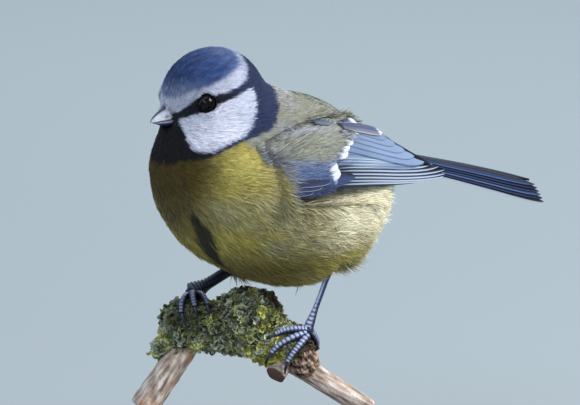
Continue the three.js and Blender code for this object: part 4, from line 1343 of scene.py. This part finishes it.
def flakes(roots, normals, sizes, tones, seed):
    """Cupped, ragged flakes of lichen, each a small fan of lobes round its own middle."""
    chance = np.random.default_rng(seed)
    number = len(roots)
    lean = unit(normals + chance.normal(0, 0.55, (number, 3)))
    side = unit(np.cross(lean, chance.normal(size=(number, 3))))
    over = np.cross(lean, side)
    angle = TURN * np.arange(LOBES) / LOBES
    base = roots[:, None] - normals[:, None] * 0.25 * sizes[:, None, None]
    # The flake's middle, deep in its cup, is painted nearly black: painted shade
    points, tints = [base], [tones[:, None] * 0.12]
    for reach, lift, light, wavy in FLAKE_RINGS:
        wave = chance.uniform(0.7, 1.25, (number, LOBES)) * (1 + wavy * np.cos(3 * angle))
        radius = reach * sizes[:, None] * wave * 0.6
        curl = lift * sizes[:, None] * chance.uniform(0.4, 1.3, (number, LOBES))
        ring = base + side[:, None] * (radius * np.cos(angle))[..., None]
        ring = ring + over[:, None] * (radius * np.sin(angle))[..., None]
        points.append(ring + lean[:, None] * curl[..., None])
        tints.append(tones[:, None] * light * chance.uniform(0.8, 1.2, (number, LOBES, 1)))
    faces = []
    for k in range(LOBES):
        n = (k + 1) % LOBES
        inner, outer = (1 + k, 1 + n), (1 + LOBES + k, 1 + LOBES + n)
        faces += [(0, *inner), (inner[0], *outer), (inner[0], outer[1], inner[1])]
    points, tints = (np.concatenate(rings, 1).reshape(-1, 3) for rings in (points, tints))
    return points, repeated(faces, number, 2 * LOBES + 1), tints


def lichen_tone(places, seed):
    """The lichen's colours: yellower low down and near the left foot, paler at the other end.

    Where it has worn off, the bare brown twig shows.
    """
    chance = np.random.default_rng(seed)
    along, up, _ = (places @ PERCH_AXES.T).T
    pick = 1.7 + 1.1 * ripple(places, 5, 41) + 0.8 * chance.normal(size=len(places))
    yellow = ease(-up, 31, 37) * ease(along, -16, -6) + ease(along, -8, -2) * ease(-up, 25, 29)
    pick = np.clip(pick + 1.1 * yellow, 0, 3)
    tones = np.stack([np.interp(pick, range(4), part) for part in zip(*LICHEN_TONES)], 1)
    pale = chance.uniform(size=len(places)) < 0.3 + 0.3 * ease(-along, 27, 30) * ease(-up, 30, 33)
    pales = LICHEN_PALE * chance.uniform(0.7, 1.1, (len(places), 1))
    tones = np.where(pale[:, None], pales, tones)
    deep = 0.95 + 0.4 * ripple(places, 4.5, 48) - 0.4 * ease(-along, 16, 22) * ease(up, -33, -29)
    tones = tones * deep.clip(0.35, 1.5)[:, None]
    worn = ease(along, -5, -3.5) * ease(-up, 20, 21) * ease(up, -26, -24.5)
    bare = 0.92 * np.maximum(ease(along, 1, 3.5), worn)
    return blend(tones, BARE_TWIG * chance.uniform(0.5, 1.5, (len(places), 1)), bare)


def make_lichen():
    bm = bmesh.new()
    bm.from_mesh(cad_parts["perch_lichen"].data)
    bmesh.ops.remove_doubles(bm, verts=bm.verts, dist=1e-6)
    crust = piece_from(bm, "lichen_crust", LICHEN, ["perch_lichen"])
    steps = [
        ("REMESH", {"mode": "VOXEL", "voxel_size": CRUST_VOXEL}),
        ("SMOOTH", {"factor": 0.5, "iterations": 4}),
    ]
    mesh = remade(crust, LICHEN, steps)
    places = read_array(mesh.vertices, "co", 3).astype(float) * MM - TORSO
    normals = read_array(mesh.vertices, "normal", 3).astype(float)
    lumps = 0.55 * ripple(places, 3.4, 42) + 0.25 * ripple(places, 1.4, 43)
    lumpy = (places + normals * (lumps - 0.35)[:, None] + TORSO) / MM
    mesh.vertices.foreach_set("co", lumpy.astype(np.float32).ravel())
    # The crust under the flakes is painted dark, darkest in its hollows: painted shade
    paint_mesh(mesh, lichen_tone(places, 44) * (0.25 + 0.35 * ease(lumps, -0.3, 0.5))[:, None])

    chance = np.random.default_rng(45)
    picks = chance.choice(len(places), size=int(LICHEN_FLAKES * SMALL_SHARE))
    roots = places[picks] + normals[picks] * (lumps[picks] - 0.2)[:, None]
    sizes = 0.7 + 1.3 * chance.uniform(size=len(picks)) ** 1.5
    along = roots @ PERCH_ALONG
    sizes *= 1 + 0.5 * ease(-along, 25, 30) - 0.45 * ease(along, 1, 4)
    # A cuff of flakes runs down the left twig, furthest on its upper side
    t, angle = chance.uniform((0.4, 0), (0.86, TURN), (CUFF_FLAKES, 2)).T
    middle, around = round_curve(LEFT_TWIG, PERCH_OUT, t, angle)
    cuff = t > 0.62 + 0.14 * np.sin(angle) + chance.normal(0, 0.02, len(t))
    roots = np.concatenate([roots, (middle + 3.1 * around)[cuff]])
    normals = np.concatenate([normals[picks], around[cuff]])
    sizes = np.concatenate([sizes, chance.uniform(1, 2.2, cuff.sum())])
    points, faces, tints = flakes(roots, normals, sizes, lichen_tone(roots, 46), 47)
    mesh = triangle_mesh("lichen_flakes", points, faces, tints)
    add_piece("lichen_flakes", mesh, LICHEN)


make_lichen()

BARK_TONES = [linear(tone) for tone in ("75655b", "baa596", "efe4da", "c49068")]
STUB_END, KNOT_DARK, KNOT_PALE = linear("6b5347"), linear("33231c"), linear("cfae98")
RIGHT_TWIG = on_perch([(21.3, -50.6, 10.5), (11, -44.5, 8.8), (3.7, -40, 7.6), (-1.6, -36.8, 6.6)])
STUB = on_perch([(0, -38.2, 7), (-1.2, -40.2, 9), (-2.4, -41.8, 10.6)])
KNOT = on_perch((4.6, -39, 8.9))


def along_bark(t, angle, stretch):
    """Places on bark for a pattern that runs in long streaks."""
    return np.stack([stretch * t, 3 * np.cos(angle), 3 * np.sin(angle)], 1)


def bark_paint(seed, warm):
    """Weathered bark: grey-brown, in long streaks, with warm brown where it has flaked off."""

    def paint(t, angle, places):
        stretched = along_bark(t, angle, 5)
        streak = ripple(stretched, 1.4, seed) + 0.5 * ripple(stretched, 0.6, seed + 1)
        colour = blend(BARK_TONES[0], BARK_TONES[1], ease(streak, -1.1, -0.2))
        colour = blend(colour, BARK_TONES[2], ease(streak, -0.1, 0.9))
        return blend(colour, BARK_TONES[3], warm * ease(ripple(places, 6, seed + 2), 0.2, 0.9))

    return paint


def bark_girth(start, growth, waver, twist, stretch, swells):
    """A twig's radius: it wavers and twists a little, and swells by (height, size, seed)."""

    def girth(t, angle, middle):
        radius = start + growth * t + waver * np.sin(3 * angle + twist * t)
        for height, size, seed in swells:
            radius = radius + height * ripple(along_bark(t, angle, stretch), size, seed)
        return radius

    return girth


def stub_girth(t, angle, middle):
    return 2.5 + 0.12 * np.sin(5 * angle)


def stub_paint(t, angle, places):
    return blend(bark_paint(57, 0.2)(t, angle, places), STUB_END, ease(t, 0.9, 0.96))


def make_twigs():
    bm = painted_bmesh()
    girth = bark_girth(3.5, -0.5, 0.12, 9, 8, [(0.16, 2.4, 51), (0.1, 0.9, 52)])
    add_tube(bm, LEFT_TWIG, PERCH_OUT, girth, bark_paint(53, 0.55), 150, 64)
    finished(closed(bm), "twig_left_bark", BARK, ["perch_twig_left"])

    bm = painted_bmesh()
    girth = bark_girth(2.5, 0.4, 0.1, 7, 5, [(0.1, 2, 54), (0.06, 0.8, 55)])
    add_tube(bm, RIGHT_TWIG, PERCH_OUT, girth, bark_paint(56, 0.2), 150, 56)
    # The broken stub that faces the camera, with its dark end
    add_tube(bm, STUB, PERCH_ALONG, stub_girth, stub_paint, 30, 32)
    # The rough brown knot beside it
    ball = bmesh.ops.create_icosphere(bm, subdivisions=5, radius=1)["verts"]
    ways = np.array([vert.co for vert in ball])
    lumps = 3.7 + 0.4 * ripple(ways * 3.3, 1.6, 58) + 0.32 * ripple(ways * 3.3, 0.75, 59)
    # The knot is painted darker in its hollows and paler on its bumps: painted shade
    colour = blend(KNOT_DARK, KNOT_PALE, ease(lumps, 3.4, 4.3))
    settle(bm, ball, KNOT + ways * lumps[:, None], colour)
    finished(closed(bm), "twig_right_bark", BARK, ["perch_twig_right"])


make_twigs()

# The stand: a turned wooden base and two steel rods


def wood_material():
    """Beech, turned on a lathe and stained dark: fine grain across it and a satin varnish."""
    material, tree = new_material("stained_beech")
    place = node(tree, "ShaderNodeTexCoord").outputs["Object"]
    across = node(tree, "ShaderNodeMapping", {"Scale": (14, 220, 120)}, Vector=place)
    noise = {"Scale": 1, "Detail": 6, "Distortion": 0.6}
    grain = node(tree, "ShaderNodeTexNoise", noise, Vector=across.outputs["Vector"])
    tones = node(tree, "ShaderNodeValToRGB", Fac=grain.outputs["Fac"])
    stops = tones.color_ramp.elements
    for stop, (position, tone) in zip(stops, ((0.3, "2a1c14"), (0.72, "5d4230"))):
        stop.position, stop.color = position, (*linear(tone), 1)
    rough = {"Strength": 0.3, "Distance": 0.0001}
    bump = node(tree, "ShaderNodeBump", rough, Height=grain.outputs["Fac"])
    varnish = {"Roughness": 0.42, "Coat Weight": 0.3, "Coat Roughness": 0.25}
    colour, normal = tones.outputs["Color"], bump.outputs["Normal"]
    surface(tree, varnish, Base_Color=colour, Normal=normal)
    return material


def steel_material():
    """Steel rod, drawn and brushed: bright, with fine lines that run round it."""
    material, tree = new_material("brushed_steel")
    place = node(tree, "ShaderNodeTexCoord").outputs["Object"]
    fine = node(tree, "ShaderNodeMapping", {"Scale": (300, 300, 4000)}, Vector=place)
    noise = {"Scale": 1, "Detail": 2}
    lines = node(tree, "ShaderNodeTexNoise", noise, Vector=fine.outputs["Vector"])
    shades = {"To Min": 0.28, "To Max": 0.42}
    rough = node(tree, "ShaderNodeMapRange", shades, Value=lines.outputs["Fac"])
    steel = {"Base Color": (*linear("b8bcc0"), 1), "Metallic": 1.0}
    surface(tree, steel, Roughness=rough.outputs["Result"])
    return material


WOOD = wood_material()
STEEL = steel_material()
# The base from the middle of its underside out and up to the middle of its top: radius, height
BASE_OUTLINE = [
    (0, 0), (41, 0), (41.7, 0.3), (42, 1), (42, 4.6), (41.2, 5.2), (40.6, 6), (40.2, 7),
    (39.4, 7.8), (38.4, 8), (0, 8),
]
ROD_RADIUS, ROD_FOOT = 1.3, 5.2
ROD_TOPS = {"left": on_perch((-34.4, -48.2, 5.6)), "right": on_perch((18.6, -48.8, 10))}


def make_stand():
    bm = bmesh.new()
    points = [bm.verts.new((radius, 0, z - TORSO[2])) for radius, z in BASE_OUTLINE]
    edges = [bm.edges.new(pair) for pair in zip(points, points[1:])]
    lathe = {"cent": (0, 0, 0), "axis": (0, 0, 1), "angle": TURN, "steps": 128}
    bmesh.ops.spin(bm, geom=points + edges, use_merge=True, **lathe)
    finished(closed(bm), "stand_base_turned", WOOD, ["stand_base"])
    foot = ROD_FOOT - TORSO[2]
    for side, (x, y, top) in ROD_TOPS.items():
        bm = bmesh.new()
        sizes = {"radius1": ROD_RADIUS, "radius2": ROD_RADIUS, "depth": top - foot}
        bmesh.ops.create_cone(bm, cap_ends=True, segments=48, **sizes)
        bmesh.ops.translate(bm, vec=Vector((x, y, (top + foot) / 2)), verts=bm.verts)
        rims = [edge for edge in bm.edges if len({round(v.co.z, 3) for v in edge.verts}) == 1]
        bmesh.ops.bevel(
            bm, geom=rims, affect="EDGES", offset=0.2, segments=3, profile=0.5, material=-1
        )
        finished(bm, f"stand_rod_{side}_steel", STEEL, [f"stand_rod_{side}"])


make_stand()

# Camera at the photo's angle: 36 degrees round from the bird's left side towards its front, and
# 10 degrees up

TOWARDS_CAMERA = Vector((0.579, 0.797, 0.1736))
PHOTO_MIDDLE = Vector((-0.00593, 0.00081, 0.0694))
CAMERA_DISTANCE, PHOTO_LENS, SENSOR = 3, 760, 36
camera_data = bpy.data.cameras.new("camera")
camera_data.sensor_width = SENSOR
camera_data.lens = PHOTO_LENS
camera_data.clip_end = 100
camera = bpy.data.objects.new("camera", camera_data)
bpy.context.scene.collection.objects.link(camera)
camera.location = PHOTO_MIDDLE + CAMERA_DISTANCE * TOWARDS_CAMERA
camera.rotation_mode = "QUATERNION"
camera.rotation_quaternion = (-TOWARDS_CAMERA).to_track_quat("-Z", "Y")
bpy.context.scene.camera = camera

BIRD_MIDDLE = Vector((0, 0, 0.07))


def area_light(name, place, size, power, colour):
    """A round studio light that faces the bird."""
    data = bpy.data.lights.new(name, "AREA")
    data.shape = "DISK"
    data.size = size
    data.energy = power
    data.color = colour
    lamp = bpy.data.objects.new(name, data)
    bpy.context.scene.collection.objects.link(lamp)
    lamp.location = place
    lamp.rotation_mode = "QUATERNION"
    lamp.rotation_quaternion = (BIRD_MIDDLE - Vector(place)).to_track_quat("-Z", "Y")


area_light("key", (-0.5, 0.8, 0.85), 0.6, 15, (1, 0.98, 0.96))
area_light("fill", (0.7, 0.9, 0.5), 0.9, 1.5, (0.86, 0.92, 1))
area_light("brow", (0.9, 0.45, 0.8), 0.5, 2.4, (0.86, 0.92, 1))
area_light("back", (-0.5, -0.7, 0.7), 0.5, 3.5, (0.92, 0.96, 1))

world = bpy.data.worlds.new("sky")
world.use_nodes = True
sky = world.node_tree.nodes["Background"].inputs
sky["Color"].default_value = (*linear("ccd6e6"), 1)
sky["Strength"].default_value = 0.5
bpy.context.scene.world = world
bpy.context.scene.view_settings.view_transform = "Standard"

# The floor: pale grey-blue paper, smooth and matt
floor_bm = bmesh.new()
bmesh.ops.create_grid(floor_bm, x_segments=2, y_segments=2, size=3)
floor_mesh = bpy.data.meshes.new("floor")
floor_bm.to_mesh(floor_mesh)
floor_bm.free()
floor = bpy.data.objects.new("floor", floor_mesh)
bpy.context.scene.collection.objects.link(floor)
floor_material, floor_tree = new_material("floor_paper")
surface(floor_tree, {"Base Color": (*linear("a6b3b8"), 1), "Roughness": 0.9})
floor_mesh.materials.append(floor_material)
